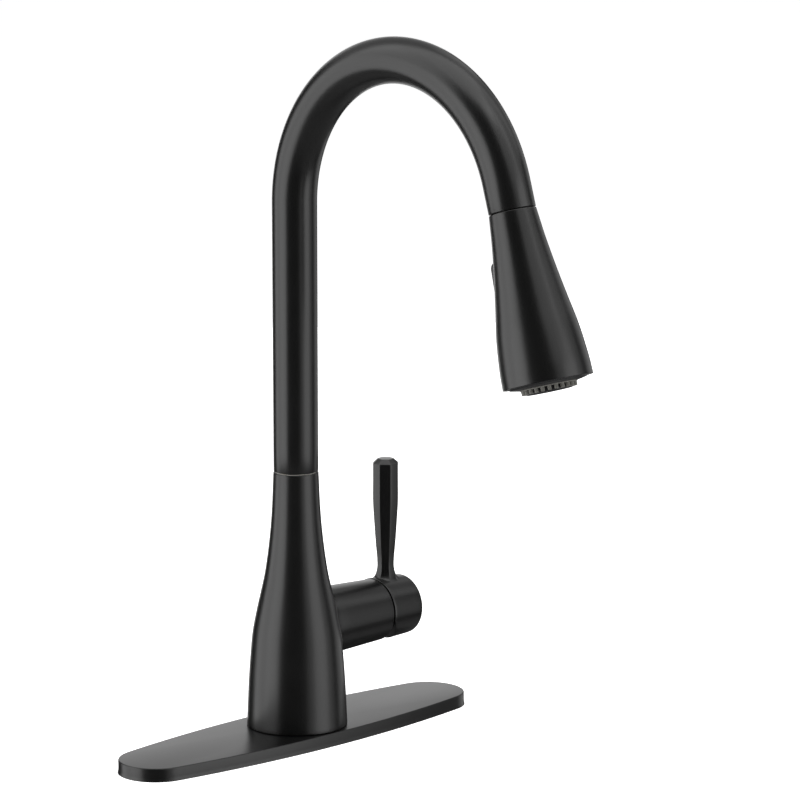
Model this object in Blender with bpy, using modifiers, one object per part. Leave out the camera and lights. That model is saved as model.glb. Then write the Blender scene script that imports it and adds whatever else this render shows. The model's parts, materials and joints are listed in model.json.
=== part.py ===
"""Single-handle pull-down kitchen faucet on an oval deck plate.

Frame: metres, +Z up. The origin is on the axis of the faucet body, in the plane of the sink deck
that the plate lies on. X runs along the deck plate, with the handle at +X. The spout leans to -Y.
"""
from math import asin, cos, pi, radians, sin

import bmesh
import bpy
from mathutils import Matrix, Vector

GAP = 0.0003                    # between touching pieces

# deck plate
PLATE_HALF_LENGTH = 0.130
PLATE_HALF_WIDTH = 0.0314
PLATE_END_RADIUS = 0.0225
PLATE_HEIGHT = 0.0078
PLATE_FLARE = 0.0007            # foot of the side wall
PLATE_WALL = 0.002

# body, on the Z axis
BODY_FOOT = PLATE_HEIGHT + GAP
BODY_TOP = 0.1589
BODY_WALL = 0.003
NECK_FLOOR = 0.118              # below this the neck opens into the body's cavity
NECK_BORE = 0.0109
# outside of the body: radius, height
BODY_OUTLINE = [
    (0.0296, BODY_FOOT), (0.0284, 0.034), (0.0271, 0.052), (0.0259, 0.064), (0.0236, 0.076),
    (0.0209, 0.088), (0.01835, 0.100), (0.01585, 0.118), (0.01425, 0.136), (0.0132, BODY_TOP),
]

# spout: a straight riser, a round arch and a short straight tail
TUBE_RADIUS = 0.01305
TUBE_BORE = 0.0119
TUBE_FOOT = BODY_TOP + 0.0006
RISE_TOP = 0.3163
ARCH_RADIUS = 0.0865
ARCH_SWEEP = radians(163.1)
TAIL = 0.0154

# valve hub, along X
HUB_Z = 0.0663
SEAT_X = 0.025                  # where the cartridge stands
SLEEVE_END = 0.0619
SLEEVE_ROOT_RADIUS = 0.0201
SLEEVE_END_RADIUS = 0.0185
PIVOT_X = 0.046                 # the lever tilts about a pin here
BONNET_RADIUS = 0.02414         # ball surface about the pivot
CAP_CAVITY_RADIUS = 0.02475
CAP_RIM = 0.0626
CAP_END = 0.087
CAP_RIM_RADIUS = 0.0189
CAP_END_RADIUS = 0.0179
CAP_EDGE = 0.002
RELIEF_ANGLE = radians(27)      # slanted cut of the cap's rim, opposite the lever
RELIEF_START = 0.004            # below the hub's axis

# lever
LEVER_X = 0.0724
LEVER_TOP = 0.1571
# half the width over the flats, height
LEVER_OUTLINE = [
    (0.0086, 0.0780), (0.0086, 0.0852), (0.0071, 0.0866), (0.0060, 0.0886), (0.0053, 0.0908),
    (0.0050, 0.0932), (0.0054, 0.0990), (0.0061, 0.1070), (0.0069, 0.1200), (0.0076, 0.1310),
    (0.0076, 0.1544), (0.0046, LEVER_TOP),
]
OCTAGON_CORNER = 0.39           # corner of a flat, as a share of half the width

# spray wand: radius, distance from the end of the spout along the wand
WAND_OUTLINE = [
    (0.01305, 0.0005), (0.0148, 0.017), (0.0172, 0.034), (0.0200, 0.051), (0.0228, 0.067),
    (0.0245, 0.084), (0.0249, 0.0945),
]
WAND_WALL = 0.0019
WAND_RIM = 0.0945
NUB_COUNT = 24
NUB_RING = 0.0142
TOGGLE_AT = 0.035               # middle of the rocker along the wand
ROCKER_LENGTH, ROCKER_WIDTH, ROCKER_CORNER = 0.0210, 0.0150, 0.0040
ROCKER_FOOT = 0.0150            # its underside and pivot, off the wand's axis
ROCKER_FACE = 0.0186            # its flat face, off the wand's axis at its middle
ROCKER_SLOPE = 0.082            # rise of the face per length along the wand
BEZEL_LENGTH, BEZEL_WIDTH, BEZEL_CORNER = 0.0260, 0.0186, 0.0058

# fixing under the deck
SHANK_RADIUS = 0.016
SHANK_FOOT = -0.060
WASHER_TOP = -0.012
TUBE_RING = 0.0102              # the three pipes stand round the hose
PIPE_RADIUS = 0.0036
HOSE_RADIUS = 0.006


# ---------------------------------------------------------------- scene and helpers

for old in list(bpy.data.objects):
    bpy.data.objects.remove(old, do_unlink=True)

parts = bpy.data.collections.new("pull_down_faucet")
cutters = bpy.data.collections.new("cutters")
bpy.context.scene.collection.children.link(parts)
bpy.context.scene.collection.children.link(cutters)


def make_material(name, colour, roughness, metallic):
    material = bpy.data.materials.new(name)
    material.use_nodes = True
    shader = material.node_tree.nodes["Principled BSDF"]
    shader.inputs["Base Color"].default_value = (*colour, 1)
    shader.inputs["Roughness"].default_value = roughness
    shader.inputs["Metallic"].default_value = metallic
    material.diffuse_color = (*colour, 1)
    return material


BLACK = make_material("matte_black_coating", (0.012, 0.012, 0.013), 0.38, 0.0)
BRASS = make_material("brass", (0.55, 0.38, 0.14), 0.3, 1.0)
STEEL = make_material("stainless_steel", (0.55, 0.55, 0.56), 0.3, 1.0)
COPPER = make_material("copper", (0.62, 0.27, 0.15), 0.3, 1.0)
RUBBER = make_material("black_rubber", (0.02, 0.02, 0.02), 0.8, 0.0)
PLASTIC = make_material("black_plastic", (0.02, 0.02, 0.022), 0.5, 0.0)
ACETAL = make_material("white_acetal", (0.75, 0.75, 0.72), 0.4, 0.0)
CERAMIC = make_material("alumina_ceramic", (0.85, 0.84, 0.8), 0.2, 0.0)
BRAID = make_material("braided_nylon", (0.03, 0.03, 0.03), 0.7, 0.0)
SILICONE = make_material("grey_silicone", (0.16, 0.16, 0.17), 0.6, 0.0)


def axis_empty(name, location, turn=(0, 0, 0), parent=None):
    """An axis that pieces hang on. Their local +Z is the axis."""
    empty = bpy.data.objects.new(name, None)
    empty.location = location
    empty.rotation_euler = turn
    empty.empty_display_size = 0.02
    empty.parent = parent
    parts.objects.link(empty)
    return empty


def new_object(name, mesh, material, axis, collection=parts):
    obj = bpy.data.objects.new(name, mesh)
    obj.parent = axis
    if material:
        mesh.materials.append(material)
        mesh.shade_smooth()
        mesh.set_sharp_from_angle(angle=radians(35))
    if collection is cutters:
        obj.hide_render = True
        obj.display_type = "WIRE"
    collection.objects.link(obj)
    return obj


def smooth_outline(points, count):
    """Points read off one smooth curve through the given ones, with equal parts between them."""
    ends = [[2 * a - b for a, b in zip(points[0], points[1])],
            [2 * a - b for a, b in zip(points[-1], points[-2])]]
    line = [ends[0], *points, ends[1]]
    spans = len(points) - 1
    result = []
    for i in range(count + 1):
        u = i * spans / count
        k = min(int(u), spans - 1)
        t = u - k
        four = line[k:k + 4]
        result.append(tuple(
            0.5 * (2 * b + (c - a) * t + (2 * a - 5 * b + 4 * c - d) * t ** 2
                   + (3 * b - a - 3 * c + d) * t ** 3)
            for a, b, c, d in zip(*four)
        ))
    return result


def arc(centre, radius, start, end, count):
    """Points (radius, height) on a circle about (0, centre): angles from the axis, in radians."""
    angles = [start + (end - start) * i / count for i in range(count + 1)]
    return [(radius * sin(a), centre + radius * cos(a)) for a in angles]


def turned(name, profile, material, axis, steps=32, collection=parts):
    """A profile of (radius, height) turned about the axis; closed, or open with its ends on it."""
    area = sum(r0 * z1 - r1 * z0 for (r0, z0), (r1, z1) in zip(profile, profile[1:] + profile[:1]))
    line = profile[::-1] if area > 0 else profile
    mesh = bpy.data.meshes.new(name)
    edges = [(i, i + 1) for i in range(len(line) - 1)]
    on_axis = [i for i, (r, z) in enumerate(line) if r == 0]
    if not on_axis:
        edges.append((len(line) - 1, 0))
    elif on_axis != [0, len(line) - 1]:
        # start the open line on the axis
        first = on_axis[-1]
        line = line[first:] + line[:first]
    mesh.from_pydata([(r, 0, z) for r, z in line], edges, [])
    obj = new_object(name, mesh, None, axis, collection)
    if material:
        mesh.materials.append(material)
    screw = obj.modifiers.new("Turn", "SCREW")
    screw.steps = screw.render_steps = steps
    screw.use_merge_vertices = True
    screw.merge_threshold = 0.00002
    screw.use_smooth_shade = True
    return obj


def ring(name, outer, inner, low, high, material, axis, steps=32, collection=parts):
    profile = [(outer, high), (outer, low), (inner, low), (inner, high)]
    return turned(name, profile, material, axis, steps, collection)


def rod(name, radius, low, high, material, axis, steps=24, collection=parts):
    profile = [(0, high), (radius, high), (radius, low), (0, low)]
    return turned(name, profile, material, axis, steps, collection)


def loft(name, sections, material, axis, collection=parts):
    """A closed skin over sections of equal point counts, each a list of corners."""
    bm = bmesh.new()
    rings = [[bm.verts.new(p) for p in section] for section in sections]
    for low, high in zip(rings, rings[1:]):
        for i in range(len(low)):
            j = (i + 1) % len(low)
            bm.faces.new((low[i], low[j], high[j], high[i]))
    bm.faces.new(rings[0][::-1])
    bm.faces.new(rings[-1])
    bmesh.ops.recalc_face_normals(bm, faces=bm.faces)
    mesh = bpy.data.meshes.new(name)
    bm.to_mesh(mesh)
    bm.free()
    return new_object(name, mesh, material, axis, collection)


def box_cutter(name, size, centre, axis, turn=None):
    bm = bmesh.new()
    bmesh.ops.create_cube(bm, size=1)
    bmesh.ops.scale(bm, vec=size, verts=bm.verts)
    bmesh.ops.transform(bm, matrix=Matrix.Translation(centre) @ (turn or Matrix()), verts=bm.verts)
    mesh = bpy.data.meshes.new(name)
    bm.to_mesh(mesh)
    bm.free()
    return new_object(name, mesh, None, axis, cutters)


def combine(obj, operation, other):
    boolean = obj.modifiers.new(other.name, "BOOLEAN")
    boolean.operation = operation
    boolean.object = other
    return obj


def cut(obj, *tools):
    for tool in tools:
        combine(obj, "DIFFERENCE", tool)
    return obj


def pipe(name, points, radius, material, axis, sides=8, collection=parts):
    """A round wire along the points, made a mesh with its caps welded on."""
    curve = bpy.data.curves.new(name, "CURVE")
    curve.dimensions = "3D"
    curve.bevel_depth = radius
    curve.bevel_resolution = (sides - 4) // 2
    curve.render_resolution_u = 0
    curve.use_fill_caps = True
    spline = curve.splines.new("POLY")
    spline.points.add(len(points) - 1)
    for point, place in zip(spline.points, points):
        point.co = (*place, 1)
    guide = bpy.data.objects.new(name + "_curve", curve)
    parts.objects.link(guide)
    bpy.context.view_layer.update()
    mesh = bpy.data.meshes.new_from_object(guide.evaluated_get(bpy.context.evaluated_depsgraph_get()))
    bpy.data.objects.remove(guide, do_unlink=True)
    bm = bmesh.new()
    bm.from_mesh(mesh)
    bmesh.ops.remove_doubles(bm, verts=bm.verts, dist=0.00001)
    bmesh.ops.recalc_face_normals(bm, faces=bm.faces)
    bm.to_mesh(mesh)
    bm.free()
    mesh.name = name
    mesh.materials.clear()
    return new_object(name, mesh, material, axis, collection)


def oval(offset, height, per_arc=9):
    """Four tangent arcs: two long sides and two round ends, moved outwards by offset."""
    a, b, r = PLATE_HALF_LENGTH, PLATE_HALF_WIDTH, PLATE_END_RADIUS
    side = ((a - r) ** 2 + b ** 2 - r ** 2) / (2 * (b - r))
    end_x = a - r
    meet = asin(end_x / (side - r))                # angle of the joint, from +Y about the side centre
    points = []
    for i in range(per_arc + 1):                   # the round end at +X
        angle = (pi / 2 - meet) * (2 * i / per_arc - 1)
        points.append((end_x + (r + offset) * cos(angle), (r + offset) * sin(angle)))
    for i in range(1, per_arc):                    # the long side at +Y
        angle = meet * (1 - 2 * i / per_arc)
        points.append(((side + offset) * sin(angle), b - side + (side + offset) * cos(angle)))
    points += [(-x, -y) for x, y in points]
    return [(x, y, height) for x, y in points]


def body_radius(height):
    """Outside radius of the body at a height, read between its outline's points."""
    line = smooth_outline(BODY_OUTLINE, 60)
    for (r0, z0), (r1, z1) in zip(line, line[1:]):
        if z0 <= height <= z1:
            return r0 + (r1 - r0) * (height - z0) / (z1 - z0)
    return line[-1][0]


# ---------------------------------------------------------------- axes

ARCH_CENTRE = Vector((0, -ARCH_RADIUS, RISE_TOP))
TAIL_WAY = Vector((0, -sin(ARCH_SWEEP), cos(ARCH_SWEEP)))
ARCH_END = ARCH_CENTRE + ARCH_RADIUS * Vector((0, cos(ARCH_SWEEP), sin(ARCH_SWEEP)))
SPOUT_END = ARCH_END + TAIL * TAIL_WAY

body_axis = axis_empty("body_axis", (0, 0, 0))
swivel_axis = axis_empty("swivel_axis", (0, 0, 0))
hub_axis = axis_empty("hub_axis", (0, 0, HUB_Z), (0, pi / 2, 0))
tilt_axis = axis_empty("tilt_axis", (0, 0, PIVOT_X), (0, -pi / 2, 0), hub_axis)
wand_axis = axis_empty("wand_axis", SPOUT_END, (ARCH_SWEEP, 0, 0), swivel_axis)


# ---------------------------------------------------------------- deck plate

plate = loft("deck_plate", [
    oval(PLATE_FLARE, 0), oval(0.0002, 0.0012), oval(0, 0.0024),
    oval(0, PLATE_HEIGHT - 0.0007), oval(-0.0007, PLATE_HEIGHT),
], BLACK, body_axis)
plate_hollow = loft("plate_hollow", [
    oval(-PLATE_WALL, -0.001), oval(-PLATE_WALL, PLATE_HEIGHT - PLATE_WALL),
], None, body_axis, cutters)
plate_hole = rod("plate_hole", SHANK_RADIUS + 0.0005, -0.002, 0.02, None, body_axis, 24, cutters)
cut(plate, plate_hollow, plate_hole)

liner = loft("plate_liner", [
    oval(-PLATE_WALL - GAP, 0), oval(-PLATE_WALL - GAP, 0.0026),
], RUBBER, body_axis)
liner_boss = rod("liner_boss", 0.024, 0.001, PLATE_HEIGHT - PLATE_WALL - GAP, None, body_axis, 24, cutters)
combine(liner, "UNION", liner_boss)
cut(liner, plate_hole)


# ---------------------------------------------------------------- body casting

body_outside = smooth_outline(BODY_OUTLINE, 12)
body = turned("faucet_body", [(0, BODY_FOOT), *body_outside, (0, BODY_TOP)], BLACK, body_axis, 32)

sleeve = turned("sleeve_stock", [
    (0, 0.005), (SLEEVE_ROOT_RADIUS, 0.005), (SLEEVE_ROOT_RADIUS, 0.022),
    (SLEEVE_END_RADIUS + 0.0003, SLEEVE_END - 0.0004), (SLEEVE_END_RADIUS, SLEEVE_END), (0, SLEEVE_END),
], None, hub_axis, 32, cutters)
combine(body, "UNION", sleeve)

cavity_foot = 0.014
cavity_heights = [cavity_foot, 0.040, 0.056, 0.068, 0.082, 0.094, 0.106, NECK_FLOOR]
cavity = turned("body_cavity", [
    (0, 0.001), (SHANK_RADIUS + GAP, 0.001), (SHANK_RADIUS + GAP, cavity_foot),
    *[(body_radius(z) - BODY_WALL, z) for z in cavity_heights],
    (NECK_BORE, NECK_FLOOR), (NECK_BORE, BODY_TOP - 0.0012),
    (NECK_BORE + 0.0014, BODY_TOP - 0.0012), (NECK_BORE + 0.0014, 0.17), (0, 0.17),
], None, body_axis, 24, cutters)
gasket_groove = ring("gasket_groove", 0.026, 0.021, 0, BODY_FOOT + 0.0015, None, body_axis, 24, cutters)

CARTRIDGE_RADIUS = 0.0125
BORE_RADIUS = 0.0168
BORE_STEP = 0.0473
MOUTH_RADIUS = 0.018
valve_bore = turned("valve_bore", [
    (0, SEAT_X), (CARTRIDGE_RADIUS + 0.0004, SEAT_X), (CARTRIDGE_RADIUS + 0.0004, BORE_STEP),
    (BORE_RADIUS, BORE_STEP), (BORE_RADIUS, SLEEVE_END - MOUTH_RADIUS + BORE_RADIUS),
    (MOUTH_RADIUS + 0.003, SLEEVE_END + 0.003), (0, SLEEVE_END + 0.003),
], None, hub_axis, 28, cutters)
cut(body, cavity, gasket_groove, valve_bore)

# the three water ways between the cartridge's seat and the cavity: along Y, above the hub's axis
PORTS = {"cold": (-0.0065, 0.0035), "hot": (0.0065, 0.0035), "outlet": (0.0, -0.007)}
for port, (y, up) in PORTS.items():
    port_axis = axis_empty(port + "_port_axis", (-up, y, 0), (0, 0, 0), hub_axis)
    cut(body, rod(port + "_port", 0.0025, 0.012, SEAT_X + 0.001, None, port_axis, 12, cutters))

ring("body_gasket", 0.026 - GAP, 0.021 + GAP, BODY_FOOT, BODY_FOOT + 0.0012, RUBBER, body_axis, 24)
ring("swivel_washer", NECK_BORE + 0.0011, NECK_BORE, BODY_TOP - 0.0009, TUBE_FOOT - GAP, ACETAL,
     body_axis, 24)


# ---------------------------------------------------------------- fixing under the deck

shank = ring("threaded_shank", SHANK_RADIUS, 0.0145, SHANK_FOOT, 0.0135, BRASS, body_axis, 24)
WASHER_RADIUS = 0.027
WASHER_BORE = SHANK_RADIUS + 0.0004
ring("rubber_washer", WASHER_RADIUS, WASHER_BORE, WASHER_TOP - 0.003, WASHER_TOP, RUBBER, body_axis, 24)
ring("steel_washer", WASHER_RADIUS, WASHER_BORE, WASHER_TOP - 0.0053, WASHER_TOP - 0.0033, STEEL,
     body_axis, 24)

NUT_TOP = WASHER_TOP - 0.0056
NUT_CORNER = 0.0265
hexagon = [(NUT_CORNER * cos(pi / 3 * i), NUT_CORNER * sin(pi / 3 * i)) for i in range(6)]
nut = loft("mounting_nut", [
    [(x, y, NUT_TOP - 0.012) for x, y in hexagon], [(x, y, NUT_TOP) for x, y in hexagon],
], BRASS, body_axis)
cut(nut, rod("nut_bore", WASHER_BORE, NUT_TOP - 0.02, NUT_TOP + 0.01, None, body_axis, 24, cutters))
for number, side in ((1, 1), (2, -1)):
    screw_axis = axis_empty(f"nut_screw_axis_{number}", (side * 0.0198, 0, 0), (0, 0, 0), body_axis)
    cut(nut, rod(f"nut_screw_hole_{number}", 0.0024, NUT_TOP - 0.02, NUT_TOP + 0.002, None, screw_axis, 12,
                 cutters))
    turned(f"nut_screw_{number}", [
        (0, NUT_TOP), (0.0021, NUT_TOP), (0.0021, NUT_TOP - 0.017), (0.0036, NUT_TOP - 0.017),
        (0.0036, NUT_TOP - 0.021), (0, NUT_TOP - 0.021),
    ], STEEL, screw_axis, 12)

# supply and outlet pipes: from the seat's ports, round the hose in the shank, then spread below it
PIPE_FOOT = -0.092
FITTING_RING = 0.022
PIPE_TURN = {"cold": radians(-60), "hot": radians(60), "outlet": 0.0}
for port, (y, up) in PORTS.items():
    z = HUB_Z + up
    start_x = {"cold": 0.0180, "hot": 0.0180, "outlet": 0.0205}[port]
    way = Vector((cos(PIPE_TURN[port]), sin(PIPE_TURN[port]), 0))
    stand = way * TUBE_RING
    foot = way * FITTING_RING
    bend = (Vector((start_x, y, 0)) * 0.45 + stand * 0.55)
    route = [
        (start_x, y, z), (start_x - 0.003, y, z - 0.0004), (bend.x, bend.y, z - 0.006),
        (stand.x, stand.y, z - 0.016), (stand.x, stand.y, z - 0.030), (stand.x, stand.y, 0.016),
        (stand.x, stand.y, -0.010), (stand.x, stand.y, -0.036), (stand.x, stand.y, SHANK_FOOT),
        ((stand.x + foot.x) / 2, (stand.y + foot.y) / 2, SHANK_FOOT - 0.010),
        (foot.x, foot.y, PIPE_FOOT + 0.012), (foot.x, foot.y, PIPE_FOOT + 0.006), (foot.x, foot.y, PIPE_FOOT),
    ]
    pipe(port + "_pipe", smooth_outline(route, 24), PIPE_RADIUS, COPPER, body_axis)
    fitting_axis = axis_empty(port + "_fitting_axis", foot, (0, 0, 0), body_axis)
    top = PIPE_FOOT - GAP
    turned(port + "_fitting", [
        (0, top), (0.0068, top), (0.0068, top - 0.008), (0.0048, top - 0.008),
        (0.0048, top - 0.018), (0.0030, top - 0.018), (0.0030, top - 0.009), (0, top - 0.009),
    ], BRASS, fitting_axis, 12)


# ---------------------------------------------------------------- cartridge, in the hub

ring("seat_seal", 0.0122, 0.0106, SEAT_X + GAP, SEAT_X + 0.0013, RUBBER, hub_axis, 20)

HOUSING_FOOT = SEAT_X + 0.0016
DISC_TOP = 0.0323
turned("cartridge_housing", [
    (0, HOUSING_FOOT), (CARTRIDGE_RADIUS, HOUSING_FOOT), (CARTRIDGE_RADIUS, BORE_STEP + GAP),
    (0.0163, BORE_STEP + GAP), (0.0163, 0.0504), (0.0115, 0.0504), (0.0115, 0.0520),
    (0.0096, 0.0520), (0.0096, 0.0290), (0, 0.0290),
], ACETAL, hub_axis, 24)
rod("fixed_disc", 0.0093, 0.0293, DISC_TOP, CERAMIC, hub_axis, 24)
turned("moving_disc", [
    (0, DISC_TOP + GAP), (0.0050, DISC_TOP + GAP), (0.0050, 0.0351), (0.0034, 0.0351),
    (0.0034, 0.0400), (0.0025, 0.0400), (0.0025, 0.0362), (0, 0.0362),
], CERAMIC, hub_axis, 16)
ring("cartridge_nut", 0.0165, 0.0120, 0.0507, 0.0560, BRASS, hub_axis, 24)

PIN_RADIUS = 0.0012
carrier = ring("cartridge_carrier", 0.0093, 0.0076, 0.0354, 0.0516, ACETAL, hub_axis, 20)
pin_axis = axis_empty("pin_axis", (0, 0, PIVOT_X), (pi / 2, 0, 0), hub_axis)
pin_hole = rod("pin_hole", PIN_RADIUS + GAP, -0.012, 0.012, None, pin_axis, 12, cutters)
cut(carrier, pin_hole)
rod("pivot_pin", PIN_RADIUS, -0.0088, 0.0088, STEEL, pin_axis, 10)

BALL_RADIUS = 0.005
STEM_RADIUS = 0.0036
TIP_RADIUS = 0.0015
ball_start = pi - asin(TIP_RADIUS / BALL_RADIUS)
ball_end = asin(STEM_RADIUS / BALL_RADIUS)
stem = turned("cartridge_stem", [
    (0, -0.009), (TIP_RADIUS, -0.009), *arc(0, BALL_RADIUS, ball_start, ball_end, 5),
    (STEM_RADIUS, 0.0330), (0, 0.0330),
], STEEL, tilt_axis, 16)
stem.rotation_euler = (0, pi / 2, 0)
cut(stem, pin_hole)

MOUTH_LINE = SLEEVE_END - MOUTH_RADIUS + 0.0004     # height minus radius along the mouth's cone
bonnet_edge = 0.0179
bonnet_start = asin(bonnet_edge / BONNET_RADIUS)
bonnet_open = radians(38)
turned("bonnet_ring", [
    (0.0165, 0.0563), (0.0165, 0.0165 + MOUTH_LINE),
    *arc(PIVOT_X, BONNET_RADIUS, bonnet_start, bonnet_open, 4),
    *arc(PIVOT_X, BONNET_RADIUS - 0.0012, bonnet_open, asin(0.0154 / (BONNET_RADIUS - 0.0012)), 2),
    (0.0154, 0.0563),
], BLACK, hub_axis, 28)


# ---------------------------------------------------------------- handle: cap and lever in one casting

# the handle's own axis lies on the pivot, upright, so that heights count from the hub's axis
cap_edge = [
    (CAP_END_RADIUS - CAP_EDGE + CAP_EDGE * cos(a), CAP_END - CAP_EDGE + CAP_EDGE * sin(a))
    for a in (pi / 2 * i / 4 for i in range(5))
]
handle = turned("handle", [
    (0, CAP_RIM - PIVOT_X), (CAP_RIM_RADIUS, CAP_RIM - PIVOT_X),
    *[(r, x - PIVOT_X) for r, x in cap_edge], (0, CAP_END - PIVOT_X),
], BLACK, tilt_axis, 32)
handle.rotation_euler = (0, pi / 2, 0)


def octagon(half, height):
    """Flats face along and across; seen from above, counter-clockwise."""
    c = half * OCTAGON_CORNER
    corners = [(half, -c), (half, c), (c, half), (-c, half), (-half, c), (-half, -c), (-c, -half), (c, -half)]
    return [(LEVER_X - PIVOT_X + x, y, height - HUB_Z) for x, y in corners]


lever = loft("lever_stock", [octagon(half, z) for half, z in LEVER_OUTLINE], None, tilt_axis, cutters)
cap_cavity = turned("cap_cavity", arc(0, CAP_CAVITY_RADIUS, 0, pi, 18), None, tilt_axis, 32, cutters)
cap_cavity.rotation_euler = (0, pi / 2, 0)
stem_socket = rod("stem_socket", STEM_RADIUS + 0.0004, 0.022, 0.0335, None, tilt_axis, 16, cutters)
stem_socket.rotation_euler = (0, pi / 2, 0)

RELIEF_BOX = 0.04
relief_turn = Matrix.Rotation(-RELIEF_ANGLE, 4, "Y")
relief_corner = Vector((CAP_RIM - PIVOT_X, 0, -RELIEF_START))
relief = box_cutter(
    "rim_relief", (RELIEF_BOX, 0.06, RELIEF_BOX),
    relief_corner + relief_turn @ Vector((-RELIEF_BOX / 2, 0, -RELIEF_BOX / 2)), tilt_axis, relief_turn,
)
SET_SCREW_X = 0.0770
set_screw_axis = axis_empty("set_screw_axis", (SET_SCREW_X - PIVOT_X, 0, 0), (pi, 0, 0), tilt_axis)
set_screw_hole = rod("set_screw_hole", 0.0025, 0.002, 0.03, None, set_screw_axis, 16, cutters)
combine(handle, "UNION", lever)
cut(handle, cap_cavity, stem_socket, relief, set_screw_hole)
turned("handle_set_screw", [
    (0, 0.0039), (0.0022, 0.0039), (0.0022, 0.0120), (0.0012, 0.0120), (0.0012, 0.0090), (0, 0.0090),
], STEEL, set_screw_axis, 12)
turned("screw_plug", [
    (0, 0.0124), (0.0022, 0.0124), (0.0022, 0.0175), (0.0017, 0.0181), (0, 0.0183),
], PLASTIC, set_screw_axis, 12)


# ---------------------------------------------------------------- spout

def spout_route(start, end_before_tip, bend_steps):
    """Centre line of the tube from a height on the riser to a distance before the tube's end."""
    route = [Vector((0, 0, start))]
    if start < RISE_TOP - 0.1:
        route.append(Vector((0, 0, (start + RISE_TOP) / 2)))
    sweep = ARCH_SWEEP - max(end_before_tip - TAIL, 0) / ARCH_RADIUS
    for i in range(bend_steps + 1):
        angle = sweep * i / bend_steps
        route.append(ARCH_CENTRE + ARCH_RADIUS * Vector((0, cos(angle), sin(angle))))
    if end_before_tip < TAIL:
        route.append(SPOUT_END - end_before_tip * TAIL_WAY)
    return route


ARCH_STEPS = 16
TUBE_SIDES = 20
spout = pipe("spout_tube", spout_route(TUBE_FOOT, 0, ARCH_STEPS), TUBE_RADIUS, BLACK, swivel_axis, TUBE_SIDES)
spout_bore = pipe("spout_bore", spout_route(TUBE_FOOT - 0.002, -0.002, ARCH_STEPS), TUBE_BORE, None,
                  swivel_axis, TUBE_SIDES, cutters)
cut(spout, spout_bore)

SPIGOT_RADIUS = NECK_BORE - 0.0004
GROOVE_RADIUS = 0.0094
SPIGOT_FOOT = 0.112
# heights of the grooves for the two bearings, the seal between them and the clip below the neck
GROOVES = {
    "swivel_bearing_upper": (0.1515, 0.1560), "swivel_o_ring": (0.1390, 0.1420),
    "swivel_bearing_lower": (0.1240, 0.1285), "swivel_clip": (0.1154, 0.1172),
}
spigot_profile = [
    (TUBE_BORE - GAP, 0.178), (TUBE_BORE - GAP, TUBE_FOOT + GAP), (SPIGOT_RADIUS, TUBE_FOOT + GAP),
]
for low, high in GROOVES.values():
    spigot_profile += [
        (SPIGOT_RADIUS, high), (GROOVE_RADIUS, high), (GROOVE_RADIUS, low), (SPIGOT_RADIUS, low),
    ]
spigot_profile += [(SPIGOT_RADIUS, SPIGOT_FOOT), (0.0082, SPIGOT_FOOT), (0.0082, 0.178)]
turned("spout_spigot", spigot_profile, BRASS, swivel_axis, 20)
for name, (low, high) in GROOVES.items():
    outer = 0.0122 if name == "swivel_clip" else NECK_BORE - GAP
    finish = {"swivel_clip": STEEL, "swivel_o_ring": RUBBER}.get(name, ACETAL)
    ring(name, outer, GROOVE_RADIUS + GAP, low + GAP, high - GAP, finish, swivel_axis, 20)

DOCK_BORE = 0.0089
turned("dock_insert", [
    (TUBE_BORE - GAP, -0.0152), (TUBE_BORE - GAP, -0.0008), (DOCK_BORE + 0.0012, -0.0008),
    (DOCK_BORE, -0.0022), (DOCK_BORE, -0.0152),
], PLASTIC, wand_axis, 20)

# the hose inside, from its coupling under the deck to the connector behind the wand
HOSE_FOOT = -0.0760
HOSE_END = 0.0325               # before the end of the spout
RISER_STEPS = 8
hose_rise = RISE_TOP - 0.02 - HOSE_FOOT
hose_points = [Vector((0, 0, HOSE_FOOT + hose_rise * i / RISER_STEPS)) for i in range(RISER_STEPS)]
hose_points += spout_route(RISE_TOP - 0.02, HOSE_END, 14)
pipe("spray_hose", hose_points, HOSE_RADIUS, BRAID, swivel_axis)
turned("hose_coupling", [
    (0, HOSE_FOOT - GAP), (0.0085, HOSE_FOOT - GAP), (0.0085, HOSE_FOOT - 0.009),
    (0.0066, HOSE_FOOT - 0.012), (0.0066, HOSE_FOOT - 0.024), (0.0040, HOSE_FOOT - 0.024),
    (0.0040, HOSE_FOOT - 0.014), (0, HOSE_FOOT - 0.014),
], PLASTIC, swivel_axis, 16)


# ---------------------------------------------------------------- spray wand

turned("hose_connector", [
    (0, -0.0307), (0.0068, -0.0307), (0.0076, -0.0290), (0.0076, -0.0200), (0.0062, -0.0185),
    (0.0062, -0.0136), (0, -0.0136),
], BRASS, wand_axis, 16)
turned("wand_neck", [
    (0.0077, -0.0133), (0.0085, -0.0120), (0.0085, 0.0030), (0.0105, 0.0030), (0.0105, 0.0055),
    (0.0085, 0.0055), (0.0085, 0.0090), (0.0050, 0.0090), (0.0050, -0.0133),
], PLASTIC, wand_axis, 20)
turned("check_valve", [
    (0, -0.0080), (0.0046, -0.0080), (0.0046, 0.0010), (0.0030, 0.0025), (0, 0.0025),
], ACETAL, wand_axis, 16)

wand_outside = smooth_outline(WAND_OUTLINE, 10)


def wand_profile(offset):
    """The wand's outside, moved outwards by offset, as a solid."""
    return [(0, wand_outside[0][1]), *[(r + offset, s) for r, s in wand_outside], (0, wand_outside[-1][1])]


SHELL_MOUTH = 0.0088
SHELL_TOP = 0.0027
inner_wall = [(r - WAND_WALL, s) for r, s in wand_outside[1:]]
shell = turned("wand_shell", [
    (SHELL_MOUTH, wand_outside[0][1]), *wand_outside, *reversed(inner_wall),
    (wand_outside[0][0] - WAND_WALL, SHELL_TOP), (SHELL_MOUTH, SHELL_TOP),
], BLACK, wand_axis, 32)

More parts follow.
